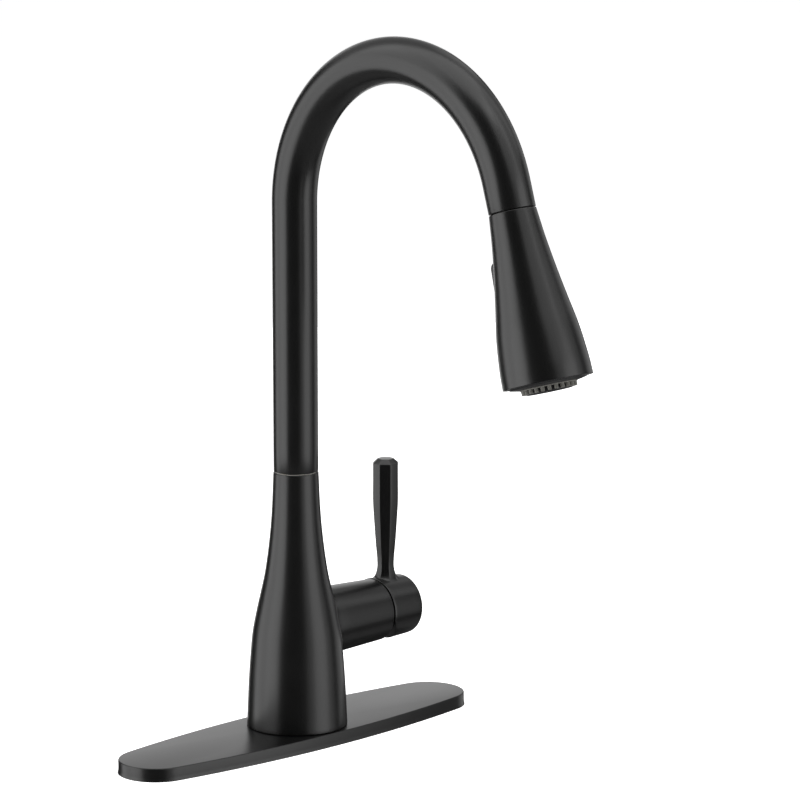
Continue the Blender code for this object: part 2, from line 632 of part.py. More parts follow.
turned("wand_waterway", [
    (0.0080, 0.0093), (0.0080, 0.0480), (0.0150, 0.0580), (0.0150, 0.0660), (0.0203, 0.0800),
    (0.0203, 0.0852), (0.0173, 0.0852), (0.0173, 0.0810), (0.0110, 0.0660), (0.0060, 0.0610),
    (0.0060, 0.0400), (0.0045, 0.0370), (0.0045, 0.0093),
], ACETAL, wand_axis, 20)
turned("diverter_spool", [
    (0, 0.0430), (0.0030, 0.0430), (0.0030, 0.0450), (0.0056, 0.0450), (0.0056, 0.0490),
    (0.0038, 0.0490), (0.0038, 0.0530), (0.0056, 0.0530), (0.0056, 0.0570), (0, 0.0570),
], ACETAL, wand_axis, 16)

# face, nozzle ring and aerator
FACE_RADIUS = 0.0221
MAT_OUTER, MAT_INNER = 0.0158, 0.0129
NUB_TIP, NUB_DEPTH = 0.0990, 0.0044
AERATOR_RADIUS = 0.0090
COLLAR_TIP = 0.0994             # the face's collar stands inside the ring of nozzles
turned("spray_face", [
    (FACE_RADIUS, 0.0856), (FACE_RADIUS, 0.0938), (0.0212, 0.0952), (MAT_OUTER + GAP, 0.0962),
    (MAT_OUTER + GAP, 0.0905), (MAT_INNER - GAP, 0.0905), (MAT_INNER - GAP, COLLAR_TIP), (0.0112, COLLAR_TIP),
    (AERATOR_RADIUS + GAP, 0.0972), (AERATOR_RADIUS + GAP, 0.0856),
], PLASTIC, wand_axis, 28)
mat = ring("nozzle_ring", MAT_OUTER, MAT_INNER, 0.0908, 0.0966, SILICONE, wand_axis, 28)
bm = bmesh.new()
for i in range(NUB_COUNT):
    angle = 2 * pi * i / NUB_COUNT
    place = Matrix.Translation((NUB_RING * cos(angle), NUB_RING * sin(angle), NUB_TIP - NUB_DEPTH / 2))
    bmesh.ops.create_cone(
        bm, cap_ends=True, segments=6, radius1=0.0012, radius2=0.0011, depth=NUB_DEPTH, matrix=place)
nub_mesh = bpy.data.meshes.new("nubs")
bm.to_mesh(nub_mesh)
bm.free()
nubs = new_object("nubs", nub_mesh, None, wand_axis, cutters)
combine(mat, "UNION", nubs)
turned("aerator", [
    (0, 0.0880), (AERATOR_RADIUS, 0.0880), (AERATOR_RADIUS, 0.0968), (0.0078, 0.0974),
    (0.0078, 0.0962), (0, 0.0962),
], PLASTIC, wand_axis, 20)


# ---------------------------------------------------------------- rocker on the back of the wand

def rounded_box(length, width, corner, height, slope=0, count=4):
    """Outline with rounded corners about the rocker's middle, at a height off the wand's axis."""
    points = []
    for quarter, (side, end) in enumerate([(1, 1), (-1, 1), (-1, -1), (1, -1)]):
        for i in range(count + 1):
            angle = pi / 2 * (quarter + i / count)
            across = side * (width / 2 - corner) + corner * cos(angle)
            along = end * (length / 2 - corner) + corner * sin(angle)
            points.append((across, -height - slope * along, TOGGLE_AT + along))
    return points


def block(name, length, width, corner, inner, outer, material, slope=0, collection=parts):
    """A rounded block on the riser's side of the wand, from inner to outer off its axis."""
    ends = [rounded_box(length, width, corner, inner), rounded_box(length, width, corner, outer, slope)]
    return loft(name, ends, material, wand_axis, collection)


shell_window = block(
    "shell_window", BEZEL_LENGTH + 2 * GAP, BEZEL_WIDTH + 2 * GAP, BEZEL_CORNER + GAP, 0.0085, 0.03, None,
    collection=cutters)
cut(shell, shell_window)
bezel = block("toggle_bezel", BEZEL_LENGTH, BEZEL_WIDTH, BEZEL_CORNER, 0.0120, 0.03, PLASTIC)
bezel_skin = turned("bezel_skin", wand_profile(0.0002), None, wand_axis, 32, cutters)
bezel_pocket = block(
    "bezel_pocket", ROCKER_LENGTH + 0.0018, ROCKER_WIDTH + 0.0008, ROCKER_CORNER + 0.0004, 0.0136, 0.04, None,
    collection=cutters)
combine(bezel, "INTERSECT", bezel_skin)
cut(bezel, bezel_pocket)
block("spray_toggle", ROCKER_LENGTH, ROCKER_WIDTH, ROCKER_CORNER, ROCKER_FOOT, ROCKER_FACE, PLASTIC,
      ROCKER_SLOPE)
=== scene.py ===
"""Looks of a single-handle pull-down kitchen faucet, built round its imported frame.

Frame: metres, +Z up. The origin is on the faucet body's axis, in the plane of the sink deck.
X runs along the deck plate, with the handle at +X. The spout leans to -Y.
"""
import json
from math import asin, atan2, cos, pi, radians, sin, sqrt, tan

import bmesh
import bpy
from bpy.props import FloatProperty, FloatVectorProperty, IntProperty, PointerProperty
from mathutils import Matrix, Vector


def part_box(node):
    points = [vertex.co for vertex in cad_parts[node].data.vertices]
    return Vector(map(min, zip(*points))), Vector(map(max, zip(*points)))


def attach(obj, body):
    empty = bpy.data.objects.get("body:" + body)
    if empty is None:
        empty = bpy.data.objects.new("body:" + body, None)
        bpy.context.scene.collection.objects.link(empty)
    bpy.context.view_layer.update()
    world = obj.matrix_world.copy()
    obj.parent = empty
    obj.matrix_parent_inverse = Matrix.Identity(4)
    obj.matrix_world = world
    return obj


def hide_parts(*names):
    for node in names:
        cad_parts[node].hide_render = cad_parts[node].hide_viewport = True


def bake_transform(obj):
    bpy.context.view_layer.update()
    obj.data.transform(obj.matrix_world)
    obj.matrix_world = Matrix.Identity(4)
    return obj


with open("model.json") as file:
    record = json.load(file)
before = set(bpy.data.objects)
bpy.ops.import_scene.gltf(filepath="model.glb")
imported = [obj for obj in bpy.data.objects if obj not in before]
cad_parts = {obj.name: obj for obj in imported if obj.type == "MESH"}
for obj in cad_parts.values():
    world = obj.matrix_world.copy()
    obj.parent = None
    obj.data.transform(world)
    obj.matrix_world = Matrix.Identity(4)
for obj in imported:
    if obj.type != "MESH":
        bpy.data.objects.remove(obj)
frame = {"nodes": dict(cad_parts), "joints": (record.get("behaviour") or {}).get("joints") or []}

bl_info = {
    "name": "Pull-down faucet pieces",
    "version": (1, 0, 0),
    "blender": (4, 5, 0),
    "location": "View3D > Sidebar > Faucet",
    "description": "Makes the pieces of a single-handle pull-down kitchen faucet round its frame",
    "category": "Add Mesh",
}

MM = 0.001
GAP = 0.3 * MM                      # between touching pieces
SHARP = radians(32)                 # faces that meet at more than this keep a hard edge
FINE_STEPS = 128                    # round a turned piece


# ---------------------------------------------------------------- places, from the frame

def joint(name):
    return next(j for j in frame["joints"] if j["name"] == name)


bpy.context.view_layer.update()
PLATE_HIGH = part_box("deck_plate")[1]
BODY_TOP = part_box("faucet_body")[1][2]
BODY_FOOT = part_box("faucet_body")[0][2]
TUBE_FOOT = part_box("spout_tube")[0][2]
PIVOT_X, _, HUB_Z = joint("handle_flow")["pos_m"]
SPOUT_END = Vector(joint("wand_twist")["pos_m"])
WAND_WAY = Vector(joint("wand_twist")["axis"])
ARCH_SWEEP = atan2(-WAND_WAY.y, WAND_WAY.z)

# each local +Z is the axis that its pieces are turned about
UPRIGHT = Matrix.Identity(4)
ALONG_HUB = Matrix.Translation((0, 0, HUB_Z)) @ Matrix.Rotation(pi / 2, 4, "Y")
ALONG_WAND = Matrix.Translation(SPOUT_END) @ Matrix.Rotation(ARCH_SWEEP, 4, "X")

# outside of the body: radius, height
BODY_OUTLINE = [
    (0.0296, BODY_FOOT), (0.0284, 0.034), (0.0271, 0.052), (0.0259, 0.064), (0.0236, 0.076),
    (0.0209, 0.088), (0.01835, 0.100), (0.01585, 0.118), (0.01425, 0.136), (0.0132, BODY_TOP),
]
# outside of the wand: radius, distance from the end of the spout
WAND_OUTLINE = [
    (0.01305, 0.0005), (0.0148, 0.017), (0.0172, 0.034), (0.0200, 0.051), (0.0228, 0.067),
    (0.0245, 0.084), (0.0249, 0.0945),
]


# ---------------------------------------------------------------- settings

def linear(hex_colour):
    """An sRGB hex colour as linear red, green, blue."""
    values = [int(hex_colour[i:i + 2], 16) / 255 for i in (1, 3, 5)]
    return tuple(v / 12.92 if v <= 0.04045 else ((v + 0.055) / 1.055) ** 2.4 for v in values)


def length(name, description, default):
    return FloatProperty(name=name, description=description, default=default, unit="LENGTH", precision=5)


def colour(name, description, hex_colour):
    return FloatVectorProperty(
        name=name, description=description, default=linear(hex_colour), subtype="COLOR", min=0, max=1)


class FinishSettings(bpy.types.PropertyGroup):
    """Colours of the faucet's finishes."""
    coating: colour("Satin coating", "Satin black coating of the metal", "#090909")
    plastic: colour("Black plastic", "Moulded black plastic of the rocker and spray face", "#101011")
    silicone: colour("Silicone", "Grey silicone of the spray nozzles", "#5a5954")
    brass: colour("Brass", "Bare brass under the deck", "#c9a55b")
    steel: colour("Steel", "Stainless steel of washers and screws", "#c3c3c0")
    copper: colour("Copper", "Copper of the supply pipes", "#c98462")
    rubber: colour("Rubber", "Nitrile rubber of seals", "#161616")
    acetal: colour("Acetal", "White acetal of bearings and cartridge", "#e4e2da")
    ceramic: colour("Ceramic", "Alumina of the valve discs", "#efeee8")
    nylon: colour("Nylon braid", "Black nylon braid of the hose", "#1c1c1d")


class PlateSettings(bpy.types.PropertyGroup):
    """Sizes of the deck plate."""
    half_length: length("Half length", "Half the plate's length over its side wall", 0.130)
    half_width: length("Half width", "Half the plate's width over its side wall", 0.0314)
    end_radius: length("End radius", "Radius of the round ends", 0.0225)
    flare: length("Flare", "How far the foot of the side wall stands out", PLATE_HIGH[0] - 0.130)
    edge: length("Edge", "Radius of the top edge", 0.0007)
    wall: length("Wall", "Thickness of the pressed metal", 0.002)
    hole: length("Hole radius", "Radius of the hole for the shank", 0.0165)


class BodySettings(bpy.types.PropertyGroup):
    """Sizes of the body and the sleeve of its valve."""
    wall: length("Wall", "Thickness of the casting", 0.003)
    edge: length("Edge", "Radius of the edge at the top and foot", 0.0004)
    sleeve_end: length("Sleeve end", "Distance of the sleeve's end from the body's axis", 0.0619)
    sleeve_root: length("Sleeve root radius", "Radius of the sleeve at the body", 0.0201)
    sleeve_mouth: length("Sleeve end radius", "Radius of the sleeve at its end", 0.0185)
    sleeve_fillet: length("Sleeve fillet", "Fillet between sleeve and body", 0.0008)


class HandleSettings(bpy.types.PropertyGroup):
    """Sizes of the handle's cap and lever."""
    rim_radius: length("Rim radius", "Radius of the cap at its rim", 0.0189)
    end_radius: length("End radius", "Radius of the cap at its end", 0.0179)
    edge: length("End edge", "Radius of the edge of the cap's end", 0.002)
    lever_x: length("Lever place", "Distance of the lever from the body's axis", 0.0724)
    lever_foot: length("Lever foot", "Half the lever's width where it leaves the cap", 0.0082)
    lever_waist: length("Lever waist", "Half the lever's width at its narrowest", 0.0050)
    lever_head: length("Lever head", "Half the lever's width at its top", 0.0076)


class SpoutSettings(bpy.types.PropertyGroup):
    """Sizes of the spout tube."""
    radius: length("Radius", "Outside radius of the tube", 0.01305)
    bore: length("Bore", "Inside radius of the tube", 0.0119)
    arch_radius: length("Arch radius", "Radius of the arch's centre line", 0.0865)
    tail: length("Tail", "Straight length after the arch", 0.0154)


class WandSettings(bpy.types.PropertyGroup):
    """Sizes of the spray wand."""
    wall: length("Wall", "Thickness of the wand's shell", 0.0019)
    rocker_at: length("Rocker place", "Middle of the rocker along the wand", 0.035)
    rocker_length: length("Rocker length", "Length of the rocker", 0.0210)
    rocker_width: length("Rocker width", "Width of the rocker", 0.0150)
    rocker_face: length("Rocker face", "Distance of the rocker's face from the wand's axis", 0.01852)
    rocker_slope: FloatProperty(name="Rocker slope", description="Rise of the rocker's face along the wand",
                                default=0.07)
    nozzles: IntProperty(name="Nozzles", description="Number of nozzles in the ring", default=24, min=6,
                         max=40)


class StageSettings(bpy.types.PropertyGroup):
    """Camera and floor."""
    azimuth: FloatProperty(name="Azimuth", description="Way the camera looks, from +Y towards -X",
                           default=radians(-44.159), unit="ROTATION")
    elevation: FloatProperty(name="Elevation", description="Height of the camera over the horizon",
                             default=radians(10.019), unit="ROTATION")
    distance: length("Distance", "From the camera to the point it looks at", 2.0)
    focal: FloatProperty(name="Focal length", description="Lens for a 36 mm sensor", default=157.6,
                         unit="CAMERA")


SETTINGS = {
    "faucet_finish": FinishSettings, "faucet_plate": PlateSettings, "faucet_body": BodySettings,
    "faucet_handle": HandleSettings, "faucet_spout": SpoutSettings, "faucet_wand": WandSettings,
    "faucet_stage": StageSettings,
}


# ---------------------------------------------------------------- nodes and finishes

def add_node(tree, kind, settings=None, links=None):
    """A node with its settings, by attribute or input, and the sockets that feed its inputs."""
    node = tree.nodes.new(kind)
    for key, value in (settings or {}).items():
        if isinstance(key, str) and hasattr(node, key):
            setattr(node, key, value)
        else:
            node.inputs[key].default_value = value
    for key, source in (links or {}).items():
        tree.links.new(source, node.inputs[key])
    return node


def new_finish(name, base, second, roughness, metallic=0.0, grain=0.4 * MM, relief=0.02 * MM, patch=18 * MM,
               spread=0.06, stretch=(1, 1, 1), **constants):
    """A finish with two near tones in soft patches, a fine grain in its relief, and roughness that varies.

    grain and patch are real sizes on the surface, relief is the depth of the grain."""
    material = bpy.data.materials.new(name)
    material.use_nodes = True
    tree = material.node_tree
    shader = tree.nodes["Principled BSDF"]
    shader.inputs["Metallic"].default_value = metallic
    for key, value in constants.items():
        shader.inputs[key.replace("_", " ")].default_value = value
    place = add_node(tree, "ShaderNodeTexCoord").outputs["Object"]
    scaled = add_node(tree, "ShaderNodeMapping", {"Scale": stretch}, {"Vector": place}).outputs["Vector"]
    patches = add_node(tree, "ShaderNodeTexNoise", {"Scale": 1 / patch, "Detail": 3}, {"Vector": scaled})
    tones = add_node(tree, "ShaderNodeMix", {"data_type": "RGBA", 6: (*base, 1), 7: (*second, 1)},
                     {0: patches.outputs["Fac"]})
    grit = add_node(tree, "ShaderNodeTexNoise", {"Scale": 1 / grain, "Detail": 2}, {"Vector": scaled})
    gloss = add_node(tree, "ShaderNodeMapRange", {3: roughness - spread / 2, 4: roughness + spread / 2},
                     {"Value": patches.outputs["Fac"]})
    bump = add_node(tree, "ShaderNodeBump", {"Strength": 1.0, "Distance": relief},
                    {"Height": grit.outputs["Fac"]})
    tree.links.new(tones.outputs[2], shader.inputs["Base Color"])
    tree.links.new(gloss.outputs[0], shader.inputs["Roughness"])
    tree.links.new(bump.outputs[0], shader.inputs["Normal"])
    material.diffuse_color = (*base, 1)
    return material


FINISHES = {}


def lighter(tone, share):
    return tuple(v + share * (1 - v) for v in tone)


def darker(tone, share):
    return tuple(v * (1 - share) for v in tone)


def make_finishes(colours):
    """All finishes, by short name."""
    # electrophoretic black lacquer on polished brass: even, satin, with a barely visible orange peel
    FINISHES["coating"] = new_finish(
        "satin_black_lacquer_on_brass", colours.coating, lighter(colours.coating, 0.003), 0.29,
        grain=0.5 * MM, relief=0.004 * MM, patch=25 * MM, spread=0.03)
    # the same lacquer on the pressed steel plate, a little flatter
    FINISHES["plate_coating"] = new_finish(
        "satin_black_lacquer_on_steel", colours.coating, lighter(colours.coating, 0.003), 0.31,
        grain=0.5 * MM, relief=0.005 * MM, patch=30 * MM, spread=0.03)
    # spark-eroded mould finish: matt, fine texture
    FINISHES["plastic"] = new_finish(
        "moulded_black_abs", colours.plastic, lighter(colours.plastic, 0.006), 0.46,
        grain=0.35 * MM, relief=0.012 * MM, patch=12 * MM)
    # compression-moulded silicone: soft, dull, slightly translucent grey
    FINISHES["silicone"] = new_finish(
        "moulded_grey_silicone", colours.silicone, darker(colours.silicone, 0.15), 0.58,
        grain=0.3 * MM, relief=0.01 * MM, patch=4 * MM)
    # machined brass: fine lathe marks round the axis
    FINISHES["brass"] = new_finish(
        "machined_brass", colours.brass, darker(colours.brass, 0.25), 0.26, metallic=1.0,
        grain=0.5 * MM, relief=0.006 * MM, patch=8 * MM, stretch=(0.3, 0.3, 3))
    # bright stainless steel, stamped and tumbled
    FINISHES["steel"] = new_finish(
        "tumbled_stainless_steel", colours.steel, darker(colours.steel, 0.2), 0.3, metallic=1.0,
        grain=0.4 * MM, relief=0.006 * MM, patch=6 * MM)
    # drawn copper tube, slightly tarnished, with draw marks along it
    FINISHES["copper"] = new_finish(
        "drawn_copper_tube", colours.copper, darker(colours.copper, 0.45), 0.3, metallic=1.0,
        grain=0.5 * MM, relief=0.005 * MM, patch=14 * MM, stretch=(2, 2, 0.2))
    FINISHES["rubber"] = new_finish(
        "moulded_nitrile_rubber", colours.rubber, lighter(colours.rubber, 0.02), 0.7,
        grain=0.35 * MM, relief=0.015 * MM, patch=9 * MM)
    FINISHES["acetal"] = new_finish(
        "moulded_white_acetal", colours.acetal, darker(colours.acetal, 0.08), 0.4,
        grain=0.4 * MM, relief=0.006 * MM, patch=9 * MM)
    # lapped alumina, nearly mirror smooth
    FINISHES["ceramic"] = new_finish(
        "lapped_alumina_ceramic", colours.ceramic, darker(colours.ceramic, 0.05), 0.16,
        grain=0.4 * MM, relief=0.002 * MM, patch=5 * MM)
    FINISHES["nylon"] = new_braid("braided_black_nylon", colours.nylon)


def new_braid(name, base):
    """Tubular nylon braid: flat yarns crossing at 45 degrees, measured round and along the wand's axis."""
    yarn = 1.6 * MM                     # width of one yarn
    material = new_finish(name, base, darker(base, 0.4), 0.55, grain=0.3 * MM, relief=0.01 * MM)
    tree = material.node_tree
    shader = tree.nodes["Principled BSDF"]
    place = add_node(tree, "ShaderNodeTexCoord").outputs["Object"]
    turn = ALONG_WAND.inverted()
    local = add_node(tree, "ShaderNodeMapping",
                     {"Rotation": turn.to_euler(), "Location": turn.to_translation()}, {"Vector": place})
    parts = add_node(tree, "ShaderNodeSeparateXYZ", None, {0: local.outputs[0]})
    around = add_node(tree, "ShaderNodeMath", {"operation": "ARCTAN2"},
                      {0: parts.outputs[1], 1: parts.outputs[0]})
    yarns_round = 12
    waves = []
    for side in (1, -1):
        lean = add_node(tree, "ShaderNodeMath", {"operation": "MULTIPLY", 1: side * yarns_round},
                        {0: around.outputs[0]})
        phase = add_node(tree, "ShaderNodeMath", {"operation": "MULTIPLY_ADD", 1: pi / yarn},
                         {0: parts.outputs[2], 2: lean.outputs[0]})
        waves.append(add_node(tree, "ShaderNodeMath", {"operation": "SINE"}, {0: phase.outputs[0]}))
    weave = add_node(tree, "ShaderNodeMath", {"operation": "MAXIMUM"},
                     {0: waves[0].outputs[0], 1: waves[1].outputs[0]})
    tones = add_node(tree, "ShaderNodeMapRange", {1: -0.5, 2: 1.0, 3: 0.0, 4: 1.0},
                     {"Value": weave.outputs[0]})
    mix = add_node(tree, "ShaderNodeMix",
                   {"data_type": "RGBA", 6: (*darker(base, 0.75), 1), 7: (*base, 1)},
                   {0: tones.outputs[0]})
    bump = add_node(tree, "ShaderNodeBump", {"Strength": 1.0, "Distance": 0.25 * MM},
                    {"Height": weave.outputs[0]})
    tree.links.new(mix.outputs[2], shader.inputs["Base Color"])
    tree.links.new(bump.outputs[0], shader.inputs["Normal"])
    return material


# ---------------------------------------------------------------- shapes

def smooth_line(points, count):
    """Points read off one smooth curve through the given ones."""
    before, after = (
        [2 * a - b for a, b in zip(end, beside)]
        for end, beside in ((points[0], points[1]), (points[-1], points[-2])))
    line = [before, *points, after]
    spans = len(points) - 1
    result = []
    for i in range(count + 1):
        k = min(int(i * spans / count), spans - 1)
        t = i * spans / count - k
        result.append(tuple(
            0.5 * (2 * b + (c - a) * t + (2 * a - 5 * b + 4 * c - d) * t ** 2
                   + (3 * b - a - 3 * c + d) * t ** 3)
            for a, b, c, d in zip(*line[k:k + 4])
        ))
    return result


def rounded(corners, segments=4):
    """A closed outline with round corners, from (x, y, radius) at each; a radius of 0 stays sharp."""
    result = []
    for i, (x, y, radius) in enumerate(corners):
        here = Vector((x, y))
        back = Vector(corners[i - 1][:2]) - here
        ahead = Vector(corners[(i + 1) % len(corners)][:2]) - here
        if not radius:
            result.append((x, y))
            continue
        half = back.angle(ahead) / 2
        reach = min(radius / tan(half), 0.49 * back.length, 0.49 * ahead.length)
        start = here + back.normalized() * reach
        end = here + ahead.normalized() * reach
        middle = here + (back.normalized() + ahead.normalized()).normalized() * reach / cos(half)
        spokes = (start - middle).normalized(), (end - middle).normalized()
        for k in range(segments + 1):
            result.append(tuple(middle + (start - middle).length * spokes[0].slerp(spokes[1], k / segments)))
    return result


def radius_at(outline, s):
    """Radius of a turned outline at a place along its axis."""
    for (r0, s0), (r1, s1) in zip(outline, outline[1:]):
        if s0 <= s <= s1:
            return r0 + (r1 - r0) * (s - s0) / (s1 - s0)
    return outline[0][0] if s < outline[0][1] else outline[-1][0]


BODY_LINE = smooth_line(BODY_OUTLINE, 90)
WAND_LINE = smooth_line(WAND_OUTLINE, 80)


def loft(rings, closed=False):
    """A skin over rings of equal point counts. It closes on itself, or has its end rings filled."""
    bm = bmesh.new()
    rows = [[bm.verts.new(p) for p in ring] for ring in rings]
    pairs = list(zip(rows, rows[1:])) + ([(rows[-1], rows[0])] if closed else [])
    for low, high in pairs:
        for i in range(len(low)):
            j = (i + 1) % len(low)
            bm.faces.new((low[i], low[j], high[j], high[i]))
    for row in () if closed else (rows[0], rows[-1]):
        if (row[0].co - row[1].co).length > 1e-7:
            bm.faces.new(row)
    return bm


def turned(profile, steps=FINE_STEPS):
    """A skin of (radius, height) points turned about +Z: a ring, or a solid with both ends on the axis."""
    angles = [2 * pi * i / steps for i in range(steps)]
    rings = [[(r * cos(a), r * sin(a), z) for a in angles] for r, z in profile]
    return loft(rings, closed=all(r > 0 for r, _ in profile))


def across(way):
    """Two directions at right angles to a way in the YZ plane."""
    side = Vector((1, 0, 0))
    return side, way.cross(side).normalized()


def circle_on(point, way, radius, sides):
    side, up = across(way)
    angles = [2 * pi * i / sides for i in range(sides)]
    return [point + radius * (cos(a) * side + sin(a) * up) for a in angles]


def mesh_from(bm, name, place=UPRIGHT):
    """The finished mesh, in its place, with its skin pointing out."""
    bmesh.ops.remove_doubles(bm, verts=bm.verts, dist=1e-6)
    bmesh.ops.recalc_face_normals(bm, faces=bm.faces)
    bm.transform(place)
    mesh = bpy.data.meshes.new(name)
    bm.to_mesh(mesh)
    bm.free()
    return mesh


def show(name, mesh, finish, body, slot, *stands_for):
    """The piece in the scene, riding on a body and standing for CAD nodes.

    A piece given no body is left without a parent."""
    obj = bpy.data.objects.new(name, mesh)
    bpy.context.scene.collection.objects.link(obj)
    mesh.materials.clear()
    mesh.materials.append(FINISHES[finish])
    mesh.shade_smooth()
    mesh.set_sharp_from_angle(angle=SHARP)
    if body:
        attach(obj, body)
    if stands_for:
        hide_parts(*stands_for)
    return obj


def evaluated(obj):
    """The object's mesh with its modifiers applied; the object is removed."""
    bpy.context.view_layer.update()
    mesh = bpy.data.meshes.new_from_object(obj.evaluated_get(bpy.context.evaluated_depsgraph_get()))
    bpy.data.objects.remove(obj, do_unlink=True)
    return mesh


def combined(mesh, operation, *others):
    """A mesh with others cut from it or joined to it."""
    obj = bpy.data.objects.new("stock", mesh)
    bpy.context.scene.collection.objects.link(obj)
    tools = []
    for other in others:
        tool = bpy.data.objects.new("tool", other)
        bpy.context.scene.collection.objects.link(tool)
        boolean = obj.modifiers.new("Combine", "BOOLEAN")
        boolean.operation = operation
        boolean.object = tool
        tools.append(tool)
    result = evaluated(obj)
    for tool in tools:
        bpy.data.objects.remove(tool, do_unlink=True)
    return result


# ---------------------------------------------------------------- geometry nodes

def new_tree(name, sizes):
    """An empty geometry tree with a geometry input and named float or integer inputs."""
    tree = bpy.data.node_groups.new(name, "GeometryNodeTree")
    tree.interface.new_socket("Geometry", in_out="INPUT", socket_type="NodeSocketGeometry")
    for label, kind in sizes.items():
        tree.interface.new_socket(label, in_out="INPUT", socket_type=kind)
    tree.interface.new_socket("Geometry", in_out="OUTPUT", socket_type="NodeSocketGeometry")
    return tree, add_node(tree, "NodeGroupInput")


def end_tree(tree, source, finish):
    """Realize Instances, Set Material and the group's output."""
    real = add_node(tree, "GeometryNodeRealizeInstances", None, {0: source})
    painted = add_node(tree, "GeometryNodeSetMaterial", {"Material": FINISHES[finish]}, {0: real.outputs[0]})
    add_node(tree, "NodeGroupOutput", None, {0: painted.outputs[0]})


def grown(shape, tree, values):
    """The mesh that a tree makes from a shape, with its inputs set by name."""
    obj = bpy.data.objects.new("seed", shape)
    bpy.context.scene.collection.objects.link(obj)
    modifier = obj.modifiers.new("Grow", "NODES")
    modifier.node_group = tree
    for item in tree.interface.items_tree:
        if item.in_out == "INPUT" and item.name in values:
            modifier[item.identifier] = values[item.name]
    return evaluated(obj)


def ring_tree(finish):
    """Copies of a shape on a circle about +Z, each turned to face outwards."""
    tree, given = new_tree("copies_on_a_ring", {
        "Count": "NodeSocketInt", "Radius": "NodeSocketFloat", "Height": "NodeSocketFloat"})
    ring = add_node(tree, "GeometryNodeMeshCircle", None,
                    {"Vertices": given.outputs["Count"], "Radius": given.outputs["Radius"]})
    place = add_node(tree, "ShaderNodeCombineXYZ", None, {"Z": given.outputs["Height"]})
    lifted = add_node(tree, "GeometryNodeTransform", None,
                      {"Geometry": ring.outputs[0], "Translation": place.outputs[0]})
    index = add_node(tree, "GeometryNodeInputIndex")
    step = add_node(tree, "ShaderNodeMath", {"operation": "DIVIDE", 0: 2 * pi}, {1: given.outputs["Count"]})
    angle = add_node(tree, "ShaderNodeMath", {"operation": "MULTIPLY"},
                     {0: index.outputs[0], 1: step.outputs[0]})
    turn = add_node(tree, "ShaderNodeCombineXYZ", None, {"Z": angle.outputs[0]})
    copies = add_node(tree, "GeometryNodeInstanceOnPoints", None,
                      {"Points": lifted.outputs[0], "Instance": given.outputs["Geometry"],
                       "Rotation": turn.outputs[0]})
    end_tree(tree, copies.outputs[0], finish)
    return tree


def sweep_tree(finish):
    """A round rod along a curve, with closed ends."""
    tree, given = new_tree("rod_on_a_path", {"Radius": "NodeSocketFloat", "Sides": "NodeSocketInt"})
    section = add_node(tree, "GeometryNodeCurvePrimitiveCircle", None,
                       {"Resolution": given.outputs["Sides"], "Radius": given.outputs["Radius"]})
    rod = add_node(tree, "GeometryNodeCurveToMesh", {"Fill Caps": True},
                   {"Curve": given.outputs["Geometry"], "Profile Curve": section.outputs[0]})
    end_tree(tree, rod.outputs[0], finish)
    return tree


def clean(mesh, name, place=UPRIGHT):
    """A grown mesh with its doubles merged, pointing out, in its place."""
    bm = bmesh.new()
    bm.from_mesh(mesh)
    return mesh_from(bm, name, place)


def joined(meshes, name):
    """Several meshes as one, each still closed."""
    bm = bmesh.new()
    for mesh in meshes:
        bm.from_mesh(mesh)
    result = bpy.data.meshes.new(name)
    bm.to_mesh(result)
    bm.free()
    return result


# ---------------------------------------------------------------- pieces

class PieceOperator(bpy.types.Operator):
    """What the operators have in common."""
    bl_options = {"REGISTER", "UNDO"}


class FAUCET_OT_deck_plate(PieceOperator):
    """Pressed oval deck plate with a rounded top edge"""
    bl_idname = "faucet.deck_plate"
    bl_label = "Deck plate"

    def execute(self, context):
        size = context.scene.faucet_plate
        top = PLATE_HIGH[2]
        end_x = size.half_length - size.end_radius
        # radius of the long sides, which run into the round ends without a corner
        side_centre = ((end_x ** 2 + size.half_width ** 2 - size.end_radius ** 2)
                       / (2 * (size.half_width - size.end_radius)))
        meet = asin(end_x / (side_centre - size.end_radius))

        def oval(offset, height, per_arc=40):
            half = []
            for i in range(per_arc):                # the round end at +X
                angle = (pi / 2 - meet) * (2 * i / per_arc - 1)
                half.append((end_x + (size.end_radius + offset) * cos(angle),
                             (size.end_radius + offset) * sin(angle)))
            for i in range(per_arc):                # the long side at +Y
                angle = meet * (1 - 2 * i / per_arc)
                half.append(((side_centre + offset) * sin(angle),
                             size.half_width - side_centre + (side_centre + offset) * cos(angle)))
            return [(x, y, height) for x, y in half + [(-x, -y) for x, y in half]]

        def hole(height):
            spokes = [Vector((x, y)).normalized() * size.hole for x, y, _ in oval(0, 0)]
            return [(spoke.x, spoke.y, height) for spoke in spokes]

        edge = [(pi / 2 * k / 6) for k in range(7)]
        foot = [(size.flare * (1 - k / 5) ** 2, 0.0024 * k / 5) for k in range(6)]
        rings = [oval(-size.wall, 0)]
        rings += [oval(offset, height) for offset, height in foot]
        rings += [oval(-size.edge + size.edge * cos(a), top - size.edge + size.edge * sin(a)) for a in edge]
        rings += [hole(top), hole(top - size.wall), oval(-size.wall, top - size.wall)]
        mesh = mesh_from(loft(rings, closed=True), "deck_plate_press")
        show("deck_plate_press", mesh, "plate_coating", "base", "plate_black", "deck_plate")
        return {"FINISHED"}


